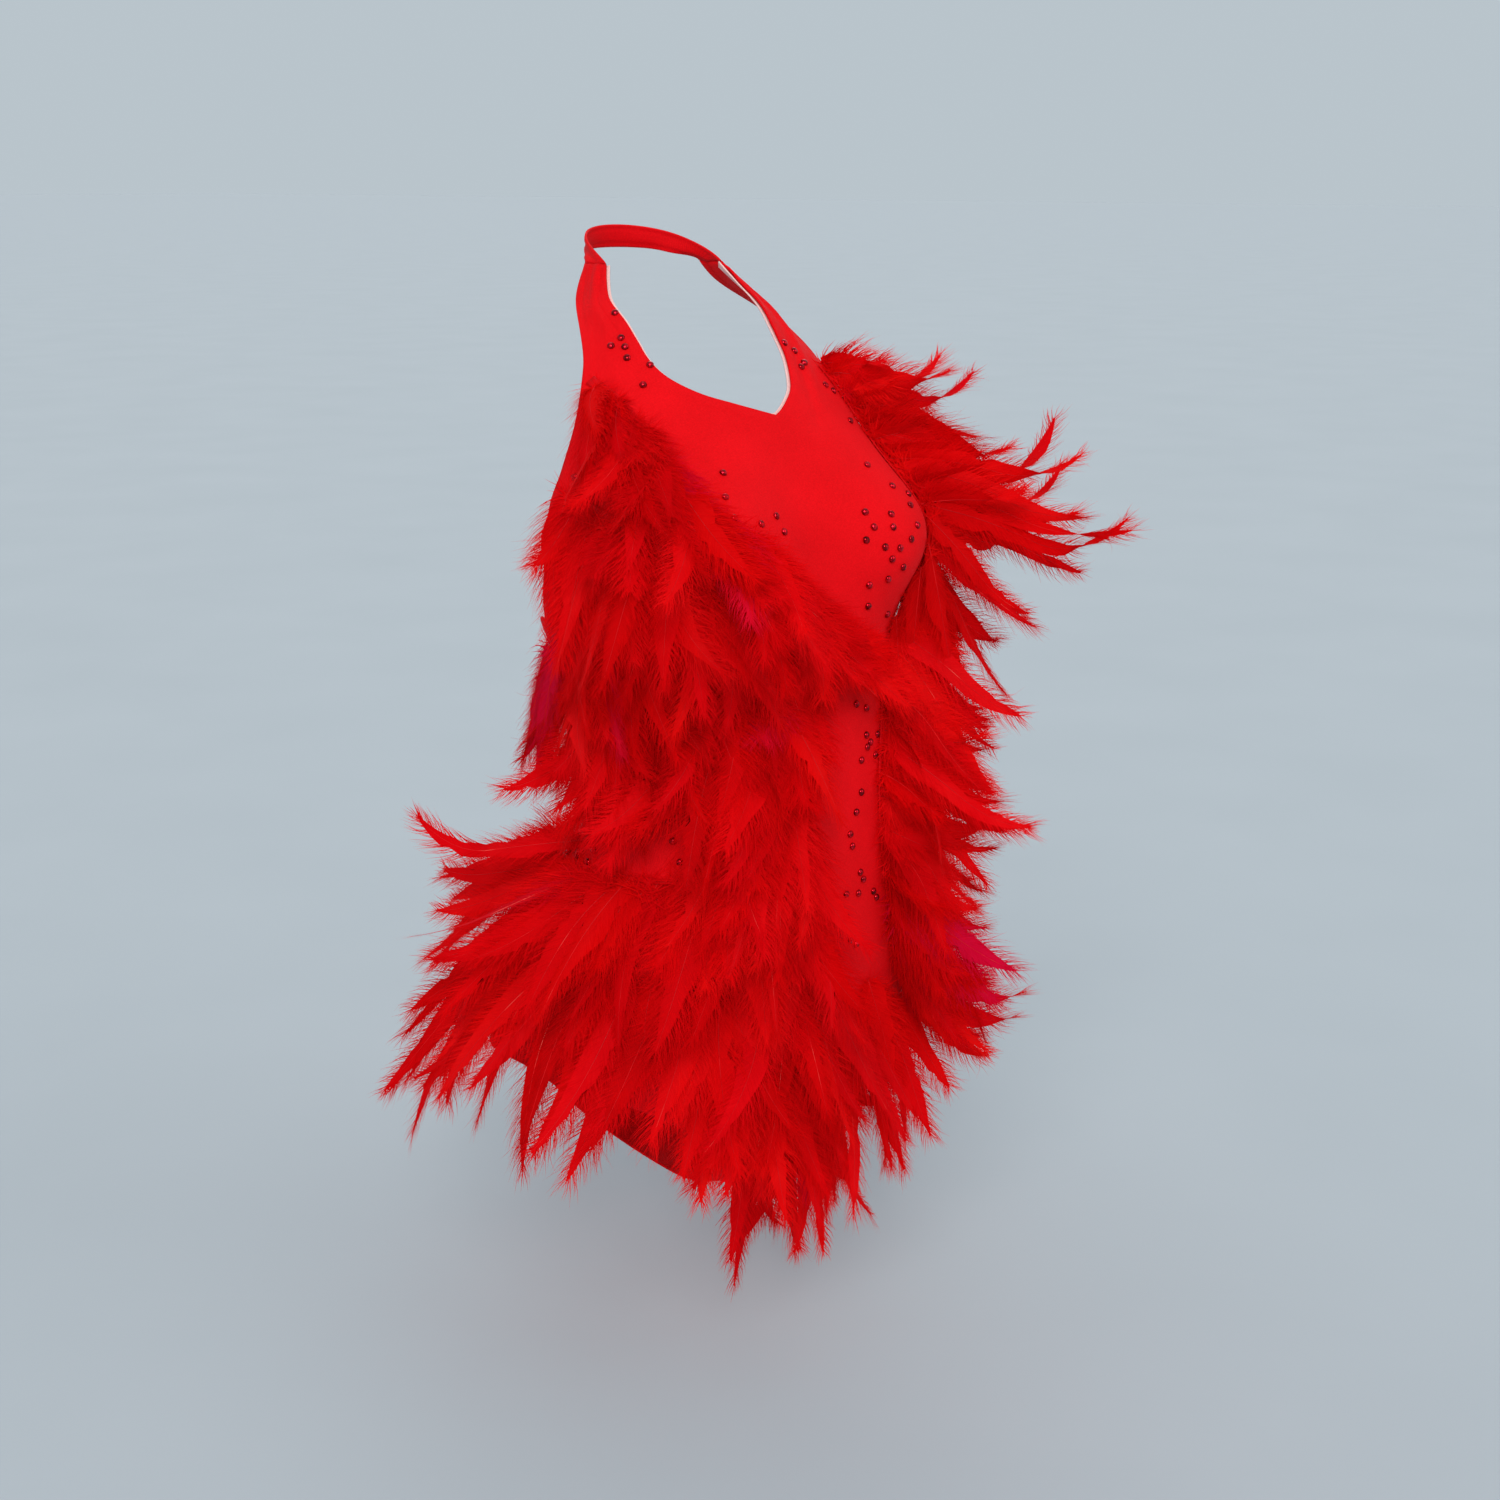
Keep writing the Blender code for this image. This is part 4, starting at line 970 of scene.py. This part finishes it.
def spines(each):
    """Middle lines of many feathers at once: points, ways along, across and outward."""
    root, left, down, normal = frame_at(each["angle"], each["z"])
    turn, tilt = (np.radians(each[key])[:, None] for key in ("heading", "lift"))
    way = (down * np.cos(turn) + left * np.sin(turn)) * np.cos(tilt) + normal * np.sin(tilt)
    side = np.cross(normal, way)
    point = root + normal * (CLOTH + TAPE_GAP + TAPE_THICKNESS)
    step = (each["length"] / SPINE_STEPS)[:, None]
    line, ways, outs = [point], [way], [across_way(normal, way)]
    out = normal
    for index in range(SPINE_STEPS):
        moved = point + way * step
        _, height, room, away = place_of(moved)
        inside = height > FIGURE["z"][-1]
        wanted = CLOTH + SPINE_ROOM + np.minimum(0.005, 0.3 * (index + 1) * step[:, 0])
        push = np.where(inside & (room < wanted), wanted - room, 0.0)
        moved = moved + away * push[:, None]
        way = unit(moved - point)
        out = np.where(inside[:, None], away, out)
        point = moved
        flat = across_way(out, way)
        for rows, row in ((line, point), (ways, way), (outs, flat)):
            rows.append(row)
        share = (index + 1) / SPINE_STEPS
        fall = each["droop"] - (2 * each["hook"] if share > 0.5 else 0.0)
        flick = each["flick"] * 2.2 * max(0.0, share - 0.5)
        way = way + np.array([0, 0, -1]) * (fall / SPINE_STEPS)[:, None]
        way = way + side * (each["curl"] / SPINE_STEPS)[:, None]
        way = unit(way + flat * (flick / SPINE_STEPS)[:, None])
    line, ways, outs = (np.stack(rows, 1) for rows in (line, ways, outs))
    return line, ways, unit(np.cross(outs, ways)), outs


def sample(rows, share):
    """Rows along each feather, read at shares of its length."""
    at = np.clip(share * SPINE_STEPS, 0, SPINE_STEPS - 1e-6)
    low = at.astype(int)
    part = (at - low)[..., None]
    pick = np.arange(len(rows))[:, None]
    return rows[pick, low] * (1 - part) + rows[pick, low + 1] * part


def keep_out(points, room):
    """Moves points that would be inside the cloth out to its surface."""
    flat = points.reshape(-1, 3)
    _, height, clear, away = place_of(flat)
    push = np.where((height > FIGURE["z"][-1]) & (clear < room), room - clear, 0.0)
    return (flat + away * push[:, None]).reshape(points.shape)


def turned(rows, angles):
    """Turns each feather's across and outward directions round its middle line, from a third
    of its angle at the root to all of it at the tip."""
    line, ways, across, outs = rows
    share = 0.35 + 0.65 * np.linspace(0, 1, line.shape[1])[None]
    turn = (np.radians(angles)[:, None] * share)[..., None]
    along, aside = np.cos(turn), np.sin(turn)
    return line, ways, across * along - outs * aside, outs * along + across * aside


def cupped(off, cup, share, wave):
    """How far a web stands off its middle line, at a distance to the side of it."""
    ripple = WEB_RIPPLE * np.sin(9.0 * share + wave + 160.0 * off) * np.abs(off) / WEB_REACH
    return cup * off ** 2 / WEB_CUP + ripple


def strips(rows, share, off, drop, side, reach, width, angle, bend, rise, steps):
    """Tapered strips that leave the feathers at the shares of their length, off to the side,
    as points of each strip's two edges."""
    line, ways, across, outs = rows
    along, out, over = (unit(sample(ways_now, share)) for ways_now in (ways, outs, across))
    sideways = over * side[..., None]
    centre = sample(line, share) + sideways * off[..., None] + out * drop[..., None]
    edges = []
    for step in range(steps):
        part = step / steps
        turn = (angle - bend * part)[..., None]
        lift = out * (rise * (1 - 1.4 * part))[..., None]
        way = unit(along * np.cos(turn) + sideways * np.sin(turn) + lift)
        wide = unit(np.cross(out, way)) * (width * (1 - part) ** 0.8 / 2)[..., None]
        edges += [centre - wide, centre + wide]
        centre = centre + way * (reach / steps)[..., None]
    return np.stack(edges + [centre], 2)


def strip_faces(count, steps):
    """Faces of strips of this many steps: four-sided ones, and a three-sided one at each tip."""
    base = np.arange(count) * (2 * steps + 1)
    quads = [np.stack([base + 2 * i + corner for corner in (0, 2, 3, 1)], -1) for i in range(steps - 1)]
    tips = [base + 2 * (steps - 1) + corner for corner in (0, 2, 1)]
    return np.concatenate(quads), np.stack(tips, -1)


def tube_faces(index):
    """Faces round and along tubes, from the numbers of their rings' points."""
    beside = np.roll(index, -1, -1)
    corners = (index[..., :-1, :], beside[..., :-1, :], beside[..., 1:, :], index[..., 1:, :])
    return np.stack(corners, -1)


def quills(line, across, outs):
    """Three-sided tapering tubes along the feathers' middle lines."""
    share = np.arange(SPINE_STEPS + 1) / SPINE_STEPS
    thick = (QUILL_TAPER * (1 - share) + QUILL_TIP)[None, :, None]
    rings = []
    for corner in range(3):
        turn = 2 * math.pi * corner / 3 + math.pi / 2
        rings.append(line + (across * math.cos(turn) + outs * (math.sin(turn) + 0.4)) * thick)
    verts = np.stack(rings, 2)
    index = np.arange(verts.size // 3).reshape(verts.shape[:3])
    return verts.reshape(-1, 3), np.moveaxis(tube_faces(index), 2, 0).reshape(-1, 4)


def vane_profile(share):
    """How wide a feather's web is along its length, with 1 where it is widest."""
    return VANE_SCALE * share ** 0.35 * np.maximum(1.0 - share, 0) ** 0.75


def web_reach(share, width):
    """How far the feathers' webs reach to the side at shares of their length."""
    return WEB_REACH * width * vane_profile(share) * (1 - 0.35 * share ** 2)


def vanes(rows, width, cup, wave):
    """Thin cupped webs of the feathers, where the barbs hold together, with a few splits."""
    line, _, across, outs = rows
    count = len(line)
    share = np.linspace(0.02, 0.985, VANE_ROWS)[None].repeat(count, 0)
    origin, out, sideways = sample(line, share), unit(sample(outs, share)), unit(sample(across, share))
    waves, starts = (dice.uniform(*ends, (count, 1, 2)) for ends in ((5, 16), (0, 6.28)))
    lobes = 0.88 + 0.12 * np.sin(waves * share[..., None] + starts)
    size = (count, VANE_ROWS, 2)
    splits = np.where(dice.uniform(0, 1, size) < 0.10, dice.uniform(0.5, 0.8, size), 1.0)
    reach = web_reach(share, width)
    points, barbs = [], []
    for column in range(VANE_COLUMNS + 1):
        place = 2 * column / VANE_COLUMNS - 1
        side = 0 if place < 0 else 1
        edge = 1 - (1 - lobes[:, :, side] * splits[:, :, side]) * abs(place) ** 2
        off = reach * place * edge
        height = cupped(off, cup, share, wave)
        points.append(origin + sideways * off[..., None] + out * height[..., None])
        barbs.append(np.stack([share * BARB_ALONG - np.abs(off) * BARB_SLANT, off, np.zeros_like(off)], -1))
    verts, barbs = np.stack(points, 2), np.stack(barbs, 2)
    return verts, grid_faces(*verts.shape[:3]), share, barbs


def feathers(rows, each):
    """One mesh of many feathers: webs, fringes, finer hairs, down and quills, with a tone that holds
    painted shade near the roots, and a place among the barbs for each point."""
    line, _, across, outs = rows
    count = len(line)
    tone, width, plume = (each[key][:, None] for key in ("tone", "width", "plume"))
    cup = dice.uniform(-0.9, 0.5, count)[:, None]
    wave = dice.uniform(0, 6.28, count)[:, None]
    verts, quads, tris, tones, pinks, places = [], [], [], [], [], []
    total = 0

    def put(points, tone_and_painted_shade, barb, fours):
        nonlocal total
        shape = points.shape[:-1]
        by_feather = [count] + [1] * (len(shape) - 1)
        barb = np.broadcast_to(barb, points.shape).copy()
        barb[..., 2] = np.arange(count).reshape(by_feather) * 0.37
        verts.append(points.reshape(-1, 3))
        tones.append(np.broadcast_to(tone_and_painted_shade, shape).ravel())
        pinks.append(np.broadcast_to(each["pink"].reshape(by_feather), shape).ravel())
        places.append(barb.reshape(-1, 3))
        quads.append(fours + total)
        total += math.prod(shape)

    def grow(share, off, side, reach, thick, angle, bend, rise, steps, lighter):
        drop = cupped(off * side, cup, share, wave)
        points = strips(rows, share, off, drop, side, reach, thick, angle, bend, rise, steps)
        points = keep_out(points, CLOTH + HAIR_ROOM)
        four, three = strip_faces(share.size, steps)
        part = np.repeat(np.arange(steps + 1), 2)[:-1] / steps
        # Painted shade: each strip is darker where it leaves the feather and lighter towards its free end,
        # and all strips are darker near the feather's root.
        tone_and_painted_shade = tone[:, None] + lighter[:, :, None] + 0.06 * (part[None, None, :] - 0.4)
        tone_and_painted_shade = tone_and_painted_shade - 0.16 * np.exp(-share[:, :, None] * 10)
        barb = np.zeros(points.shape)
        barb[..., 0] = (share * BARB_ALONG - off * BARB_SLANT)[..., None]
        barb[..., 1] = (off * side)[..., None]
        tris.append(three + total)
        put(points, tone_and_painted_shade, barb, four)

    def either_side(size):
        return np.where(dice.uniform(0, 1, size) < 0.5, -1.0, 1.0)

    vane, faces, share, barbs = vanes(rows, width, cup, wave)
    # Painted shade: the web is darker near the feather's root.
    tone_and_painted_shade = (tone - 0.14 * np.exp(-share * 8))[..., None]
    put(keep_out(vane, CLOTH + WEB_ROOM), tone_and_painted_shade, barbs, faces)

    # The fringe along each edge of the web, in clumps
    size = (count, FRINGE)
    for side in (-1.0, 1.0):
        share = (np.arange(FRINGE) + dice.uniform(0, 1, size)) / FRINGE * 0.96 + 0.02
        clump = dice.uniform(5, 12, (count, 1))
        phase = (np.arange(FRINGE)[None] / clump + dice.uniform(0, 1, (count, 1))) % 1.0
        off = web_reach(share, width) * dice.uniform(0.45, 0.85, size)
        reach = (0.0118 + 0.0080 * vane_profile(share)) * width * dice.uniform(0.7, 1.4, size)
        angle = np.radians(50 - 24 * share + 12 * (phase - 0.5) + dice.normal(0, 6, size))
        bend = np.radians(24 + 16 * (phase - 0.5) + dice.normal(0, 12, size))
        rise = plume * dice.uniform(-0.08, 0.14, size) - 0.03
        thick, lighter = dice.uniform(0.00028, 0.00062, size), dice.normal(0, 0.04, size)
        grow(share, off, np.full(size, side), reach, thick, angle, bend, rise, 2, lighter)

    # Finer hairs that stand up from the web
    size = (count, HAIRS)
    share, side = dice.uniform(0.02, 0.96, size), either_side(size)
    off = web_reach(share, width) * dice.uniform(0, 0.8, size)
    reach = (0.012 + 0.010 * vane_profile(share)) * width * dice.uniform(0.7, 1.5, size)
    angle = np.radians(42 - 22 * share + dice.normal(0, 14, size))
    bend = np.radians(dice.normal(14, 30, size))
    rise = dice.uniform(-0.05, 0.42, size) * plume
    thick, lighter = dice.uniform(0.0002, 0.0004, size), dice.normal(0.06, 0.06, size)
    grow(share, off, side, reach, thick, angle, bend, rise, 3, lighter)

    # Tufts of hair at the tip, and of down at the root
    tufts = (
        (
            TIP_HAIRS, (0.86, 0.995), (0.006, 0.016), (0, 36), (6, 14),
            (dice.normal, 0, 0.12), (0.00025, 0.0005), (0.02, 0.05),
        ),
        (
            DOWN, (0.0, 0.10), (0.010, 0.024), (30, 170), (20, 30),
            (dice.uniform, -0.10, 0.45), (0.0005, 0.0011), (0.14, 0.06),
        ),
    )
    for number, ends, lengths, fan, bends, (draw, *rises), widths, lights in tufts:
        size = (count, number)
        share, side = dice.uniform(*ends, size), either_side(size)
        reach = dice.uniform(*lengths, size) * width
        angle, bend = np.radians(dice.uniform(*fan, size)), np.radians(dice.normal(*bends, size))
        rise = draw(*rises, size)
        thick, lighter = dice.uniform(*widths, size), dice.normal(*lights, size)
        grow(share, np.zeros(size), side, reach, thick, angle, bend, rise, 2, lighter)

    quill_verts, quill_faces = quills(line, across, outs)
    corners = (SPINE_STEPS + 1) * 3
    kinds = [(np.concatenate(quads), 0), (np.concatenate(tris), 0), (quill_faces + total, 1)]
    return np.concatenate(verts + [quill_verts]), kinds, {
        "tone": np.concatenate(tones + [np.repeat(each["tone"], corners)]),
        "pink": np.concatenate(pinks + [np.repeat(each["pink"], corners)]),
        "barb": np.concatenate(places + [np.zeros((len(quill_verts), 3))]),
    }


def tape_run(rows):
    """Fine steps along a tape, with how far along each is."""
    last = len(rows["z"]) - 1
    numbered = dict(rows, place=np.arange(last + 1, dtype=float))
    places = np.linspace(0, last, TAPE_SAMPLES * last + 1)
    samples = {column: between(numbered, "place", column, places) for column in rows}
    points = figure(samples["angle"], samples["z"])
    samples["run"] = run_of(points)
    return samples


def tape_mesh(samples, offset):
    """A narrow woven tape that lies on the cloth along the feathers' roots."""
    steps = max(int(samples["run"][-1] / TAPE_STEP), 4)
    run = np.linspace(0, samples["run"][-1], steps + 1)
    angle, z = (np.interp(run, samples["run"], samples[column]) for column in ("angle", "z"))
    point, _, _, normal = frame_at(angle, z)
    across = unit(np.cross(normal, unit(np.gradient(point, axis=0))))
    rings = [
        point + across * side * TAPE_WIDTH + normal * (CLOTH + TAPE_GAP + height * TAPE_THICKNESS)
        for side, height in TAPE_SECTION
    ]
    verts = np.stack(rings, 1)
    index = offset + np.arange(verts.size // 3).reshape(-1, len(TAPE_SECTION))
    faces = tube_faces(index)[..., [0, 3, 2, 1]]
    ends = np.array([index[0], index[-1][::-1]])
    return verts.reshape(-1, 3), np.moveaxis(faces, 1, 0).reshape(-1, 4), ends


def held_in(rows):
    """Shortens the feathers whose tips would stand too far outside the solids' box."""
    line = rows[0]
    root = line[:, :1]
    away = line - root
    low, high = (np.array(corner) for corner in CAD_BOX)
    limit = np.where(away > 0, high + FEATHER_ROOM - root, root - low + FEATHER_ROOM)
    share = (limit / np.maximum(np.abs(away), 1e-9)).min((1, 2))
    return (root + away * np.minimum(share, 1.0)[:, None, None],) + rows[1:]


def covers(line):
    """Which feathers would lie over a bare patch."""
    hidden = np.zeros(len(line), bool)
    for angle, z, reach in zip(*BARE_PATCHES.values()):
        hidden |= np.linalg.norm(line[:, 3:] - figure(angle, z), axis=2).min(1) < reach
    return hidden


def draw_feathers(count, samples):
    """What each feather of a trim is like: where it is sewn on, and its shape and tone."""
    run = (np.arange(count) + 0.5 + dice.uniform(-0.35, 0.35, count)) / count * samples["run"][-1]
    each = {column: np.interp(run, samples["run"], samples[column]) for column in samples}
    each["z"] -= dice.uniform(-0.003, 0.004, count)
    each["heading"] += dice.normal(0, 8, count)
    layer = dice.uniform(0, 1, count)
    short = dice.uniform(0, 1, count) < SHORT_SHARE
    each["length"] = each["length"] * (0.68 + 0.40 * layer ** 0.7) * np.where(short, 0.5, 1.0)
    lift = each["lift"] + dice.normal(0, 7, count) + 4 * (1 - layer) + np.where(short, 12, 0)
    each["lift"] = np.maximum(lift, 5)
    each["droop"] += dice.normal(0, 0.2, count)
    each["hook"] *= np.minimum(dice.uniform(0.3, 1.5, count), 1.1)
    each["curl"] = dice.normal(0, 0.6, count)
    each["flick"] = dice.normal(0.10, 0.4, count)
    each["tone"] = np.clip(0.62 + dice.normal(0, 0.12, count), 0.25, 0.95)
    crimson = dice.uniform(0, 1, count) < 0.02
    each["pink"] = np.where(crimson, dice.uniform(0.3, 0.6, count), dice.uniform(0, 0.06, count))
    each["width"] = dice.uniform(0.85, 1.12, count) * each["half_width"] / 0.010
    each["plume"] = dice.uniform(0.5, 1.2, count)
    return each


def build_trim(name, count, rows):
    """One piece: a tape with all its feathers."""
    samples = tape_run(rows)
    far_side = name in FACE_TURN
    number = int(round(count * (SIDE_FEATHER_SHARE if far_side else FEATHER_SHARE)))
    each = draw_feathers(number, samples)
    if name in SINGLE_FEATHERS:
        extra = SINGLE_FEATHERS[name]
        for key, values in each.items():
            plain = np.full(len(extra["z"]), SINGLE_LIKE.get(key, 0.0))
            each[key] = np.append(values, extra.get(key, plain))
    spine_rows = held_in(spines(each))
    keep = ~covers(spine_rows[0])
    each = {key: values[keep] for key, values in each.items()}
    single = (np.arange(len(keep)) >= number)[keep]
    face_turn = FACE_TURN.get(name, 0.0)
    turns = dice.normal(0.0, SIDE_TURN_SPREAD if far_side else TURN_SPREAD, len(single))
    single_turns = SINGLE_TURN.get(name, face_turn) + 0.25 * turns
    turns = np.where(single, single_turns, face_turn + turns)
    verts, kinds, looks = feathers(turned([row[keep] for row in spine_rows], turns), each)
    tape_verts, tape_faces, tape_ends = tape_mesh(samples, len(verts))
    kinds += [(tape_faces, 2), (tape_ends, 2)]
    obj = add_piece(
        name.replace("trim", "feathers"), np.concatenate([verts, tape_verts]),
        [faces for faces, _ in kinds], [FEATHER, QUILL, THREAD], "feather", [name],
    )
    for key, kind, field in (
        ("barb", "FLOAT_VECTOR", "vector"), ("tone", "FLOAT", "value"), ("pink", "FLOAT", "value"),
    ):
        on_tape = np.full((len(tape_verts), *looks[key].shape[1:]), TAPE_TONE if key == "tone" else 0.0)
        values = np.concatenate([looks[key], on_tape]).astype(np.float32).ravel()
        obj.data.attributes.new(key, kind, "POINT").data.foreach_set(field, values)
    slots = np.concatenate([np.full(len(faces), kind) for faces, kind in kinds]).astype(np.int32)
    obj.data.polygons.foreach_set("material_index", slots)
    return obj


dice = np.random.default_rng(SEED)
trims = [
    build_trim(name, count, table(TRIM_COLUMNS, *rows)) for name, (count, *rows) in TRIMS.items()
]


# Stones and stitches, seated on the dressed cloth

bpy.context.view_layer.update()
graph = bpy.context.evaluated_depsgraph_get()
front_tree, back_tree, band_tree = (BVHTree.FromObject(obj, graph) for obj in (front, back, band))


def camera_turn():
    tip = Matrix.Rotation(math.radians(90 - CAMERA_PITCH), 3, "X")
    return Matrix.Rotation(math.radians(CAMERA_AZIMUTH), 3, "Z") @ tip


def seen_at(x, y):
    """The place on the cloth that shows at a pixel, and the cloth's normal there."""
    focal = LENS / SENSOR * PICTURE_SIDE
    aim = Vector(((x - PICTURE_SIDE / 2) / focal, (PICTURE_SIDE / 2 - y) / focal, -1.0))
    way = camera_turn() @ aim.normalized()
    hits = [tree.ray_cast(Vector(CAMERA_PLACE), way) for tree in (front_tree, back_tree, band_tree)]
    hits = [hit for hit in hits if hit[0] is not None]
    if not hits:
        return None
    place, normal, _, _ = min(hits, key=lambda hit: hit[3])
    return place, normal if normal.dot(way) < 0 else -normal


def stone_shape():
    """A round cut stone: flat back, girdle, two rings of crown facets and a small table."""
    corners = np.arange(8)
    beside = (corners + 1) % 8
    points = []
    for level, (reach, height) in enumerate(STONE_RINGS):
        turn = 2 * math.pi * (corners + (0.5 if level > 2 else 0.0)) / 8
        ring = (reach * np.cos(turn) * STONE_WIDTH, reach * np.sin(turn) * STONE_WIDTH)
        points.append(np.stack([*ring, np.full(8, height * STONE_HEIGHT)], -1))
    quads = [
        np.stack([level + corners, level + beside, level + 8 + beside, level + 8 + corners], -1)
        for level in (0, 8, 24)
    ]
    crown = [(16 + corners, 16 + beside, 24 + corners), (16 + beside, 24 + beside, 24 + corners)]
    tris = np.stack([np.stack(three, -1) for three in crown], 1).reshape(-1, 3)
    return np.concatenate(points), (np.concatenate(quads), tris, np.stack([32 + corners, corners[::-1]]))


def copies(name, shape, faces, turns, places, material, slot):
    """One piece of many copies of a small shape, each turned and put at its place."""
    verts = np.concatenate([shape @ turn + place for turn, place in zip(turns, places)])
    starts = np.arange(len(places))[:, None, None] * len(shape)
    every = [(kind[None] + starts).reshape(-1, kind.shape[1]) for kind in faces]
    return add_piece(name, verts, every, [material], slot)


def build_stones():
    turns, places = [], []
    for x, y in STONES:
        found = seen_at(x, y)
        if found is None:
            continue
        place, normal = found
        upright = normal.to_track_quat("Z", "Y").to_matrix()
        turn = upright @ Matrix.Rotation(dice.uniform(0, 6.28), 3, "Z")
        turns.append(np.array(turn @ Matrix.Rotation(dice.uniform(-0.16, 0.16), 3, "X")).T)
        places.append(np.array(place - normal * STONE_SINK))
    return copies("stones", *stone_shape(), turns, places, STONE, "rhinestone")


def stitch_line(points, inset, tree, middle):
    """Ways and places of stitches, set in from a line of edge points towards a middle."""
    points = np.array(points)
    run = run_of(points)
    marks = np.arange(STITCH_PITCH, run[-1] - STITCH_PITCH / 2, STITCH_PITCH)
    line = np.stack([np.interp(marks, run, points[:, axis]) for axis in range(3)], -1)
    found = []
    for point, way in zip(line, unit(np.gradient(line, axis=0))):
        point, way = Vector(point), Vector(way)
        normal = tree.find_nearest(point)[1]
        inward = normal.cross(way).normalized()
        if inward.dot(Vector(middle) - point) < 0:
            inward.negate()
        place, normal, _, far = tree.find_nearest(point + inward * inset + normal * STITCH_LIFT)
        if far < STITCH_FAR:
            along = (way - normal * way.dot(normal)).normalized()
            found.append((np.array([along, normal.cross(along), normal]), np.array(place)))
    return found


def build_stitches():
    """Lock stitches along the hems of the legs, armholes, neckline and back."""
    found = []
    for sides, tree, leg_y in ((front_sides, front_tree, -0.10), (back_sides, back_tree, 0.03)):
        for key, side in (("right_outer", -1), ("left_outer", 1)):
            upper = [point for point in sides[key] if point[2] > UNDERARM + 0.002]
            lower = [point for point in sides[key] if point[2] < SIDE_LEG - 0.002]
            if len(upper) > 4:
                found += stitch_line(upper, HEM_INSET, tree, (side * 0.03, -0.14, -0.20))
            found += stitch_line(lower, HEM_INSET, tree, (0.0, leg_y, -0.50))
    for sides, tree, inset, (x, y, z) in (
        (front_sides, front_tree, NECK_INSET, (0.05, -0.16, -0.17)),
        (back_sides, back_tree, HEM_INSET, (0.06, 0.03, -0.46)),
    ):
        for key, side in (("right_inner", -1), ("left_inner", 1)):
            found += stitch_line(sides[key], inset, tree, (side * x, y, z))
    half, wide, tall = STITCH_SIZE
    near, ends = half * 0.6, -0.0001
    shape = np.array([
        (-half, 0, ends), (-near, wide, 0), (-near, 0, tall), (-near, -wide, 0),
        (near, wide, 0), (near, 0, tall), (near, -wide, 0), (half, 0, ends),
    ])
    tris = np.array([(0, 1, 2), (0, 2, 3), (0, 3, 1), (7, 5, 4), (7, 6, 5), (7, 4, 6)])
    quads = np.array([(1, 4, 5, 2), (2, 5, 6, 3), (3, 6, 4, 1)])
    return copies("hem_stitches", shape, (tris, quads), *zip(*found), THREAD, "stretch_cloth")


stones = build_stones()
stitches = build_stitches()


# Floor, light and camera

scene = bpy.context.scene


def put_in_scene(name, data, place):
    obj = bpy.data.objects.new(name, data)
    obj.location = place
    scene.collection.objects.link(obj)
    return obj


floor_mesh = bpy.data.meshes.new("floor")
floor_mesh.from_pydata([(-60, -20, 0), (60, -20, 0), (60, 120, 0), (-60, 120, 0)], [], [(0, 1, 2, 3)])
floor_mesh.materials.append(plain_material(
    "pale_floor", {"Roughness": 0.9}, "ShaderNodeTexNoise", "Fac", {"Scale": 3.0, "Detail": 3.0},
    (0.3, (0.405, 0.445, 0.475)), (0.7, (0.42, 0.46, 0.49)),
))
put_in_scene("floor", floor_mesh, (0, 0, FLOOR_Z))

world = bpy.data.worlds.new("studio")
world.use_nodes = True
sky = world.node_tree
height = reading(sky, "ShaderNodeSeparateXYZ", "Z", node(sky, "ShaderNodeTexCoord").outputs["Generated"])
tones = ramp(sky, height, (0.0, SKY_LOW), (0.12, SKY_LOW), (0.6, SKY_HIGH))
sky.links.new(tones, sky.nodes["Background"].inputs["Color"])
sky.nodes["Background"].inputs["Strength"].default_value = 1.0
scene.world = world


def soft_light(name, place, aim, spread_angle, power, colour):
    light = bpy.data.lights.new(name, "SUN")
    light.angle = math.radians(spread_angle)
    light.energy = power
    light.color = colour
    obj = put_in_scene(name, light, place)
    obj.rotation_euler = (Vector(aim) - Vector(place)).to_track_quat("-Z", "Y").to_euler()


soft_light("key", (-3.0, -3.2, 2.9), (0, -0.05, -0.30), 34.0, 1.5, (1.0, 0.98, 0.96))
soft_light("fill", (2.4, -3.6, 1.6), (0, -0.05, -0.35), 50.0, 0.5, (1.0, 0.99, 0.98))
soft_light("glint", (-2.0, -2.6, 1.7), (0, -0.05, -0.25), 9.0, 0.45, (1.0, 1.0, 1.0))
soft_light("rim", (2.2, 2.8, 2.2), (0, 0, -0.30), 40.0, 0.4, (1.0, 1.0, 1.0))

camera = bpy.data.cameras.new("camera")
camera.lens = LENS
camera.sensor_width = SENSOR
eye = put_in_scene("camera", camera, CAMERA_PLACE)
eye.rotation_euler = camera_turn().to_euler()
scene.camera = eye
scene.view_settings.view_transform = "Standard"
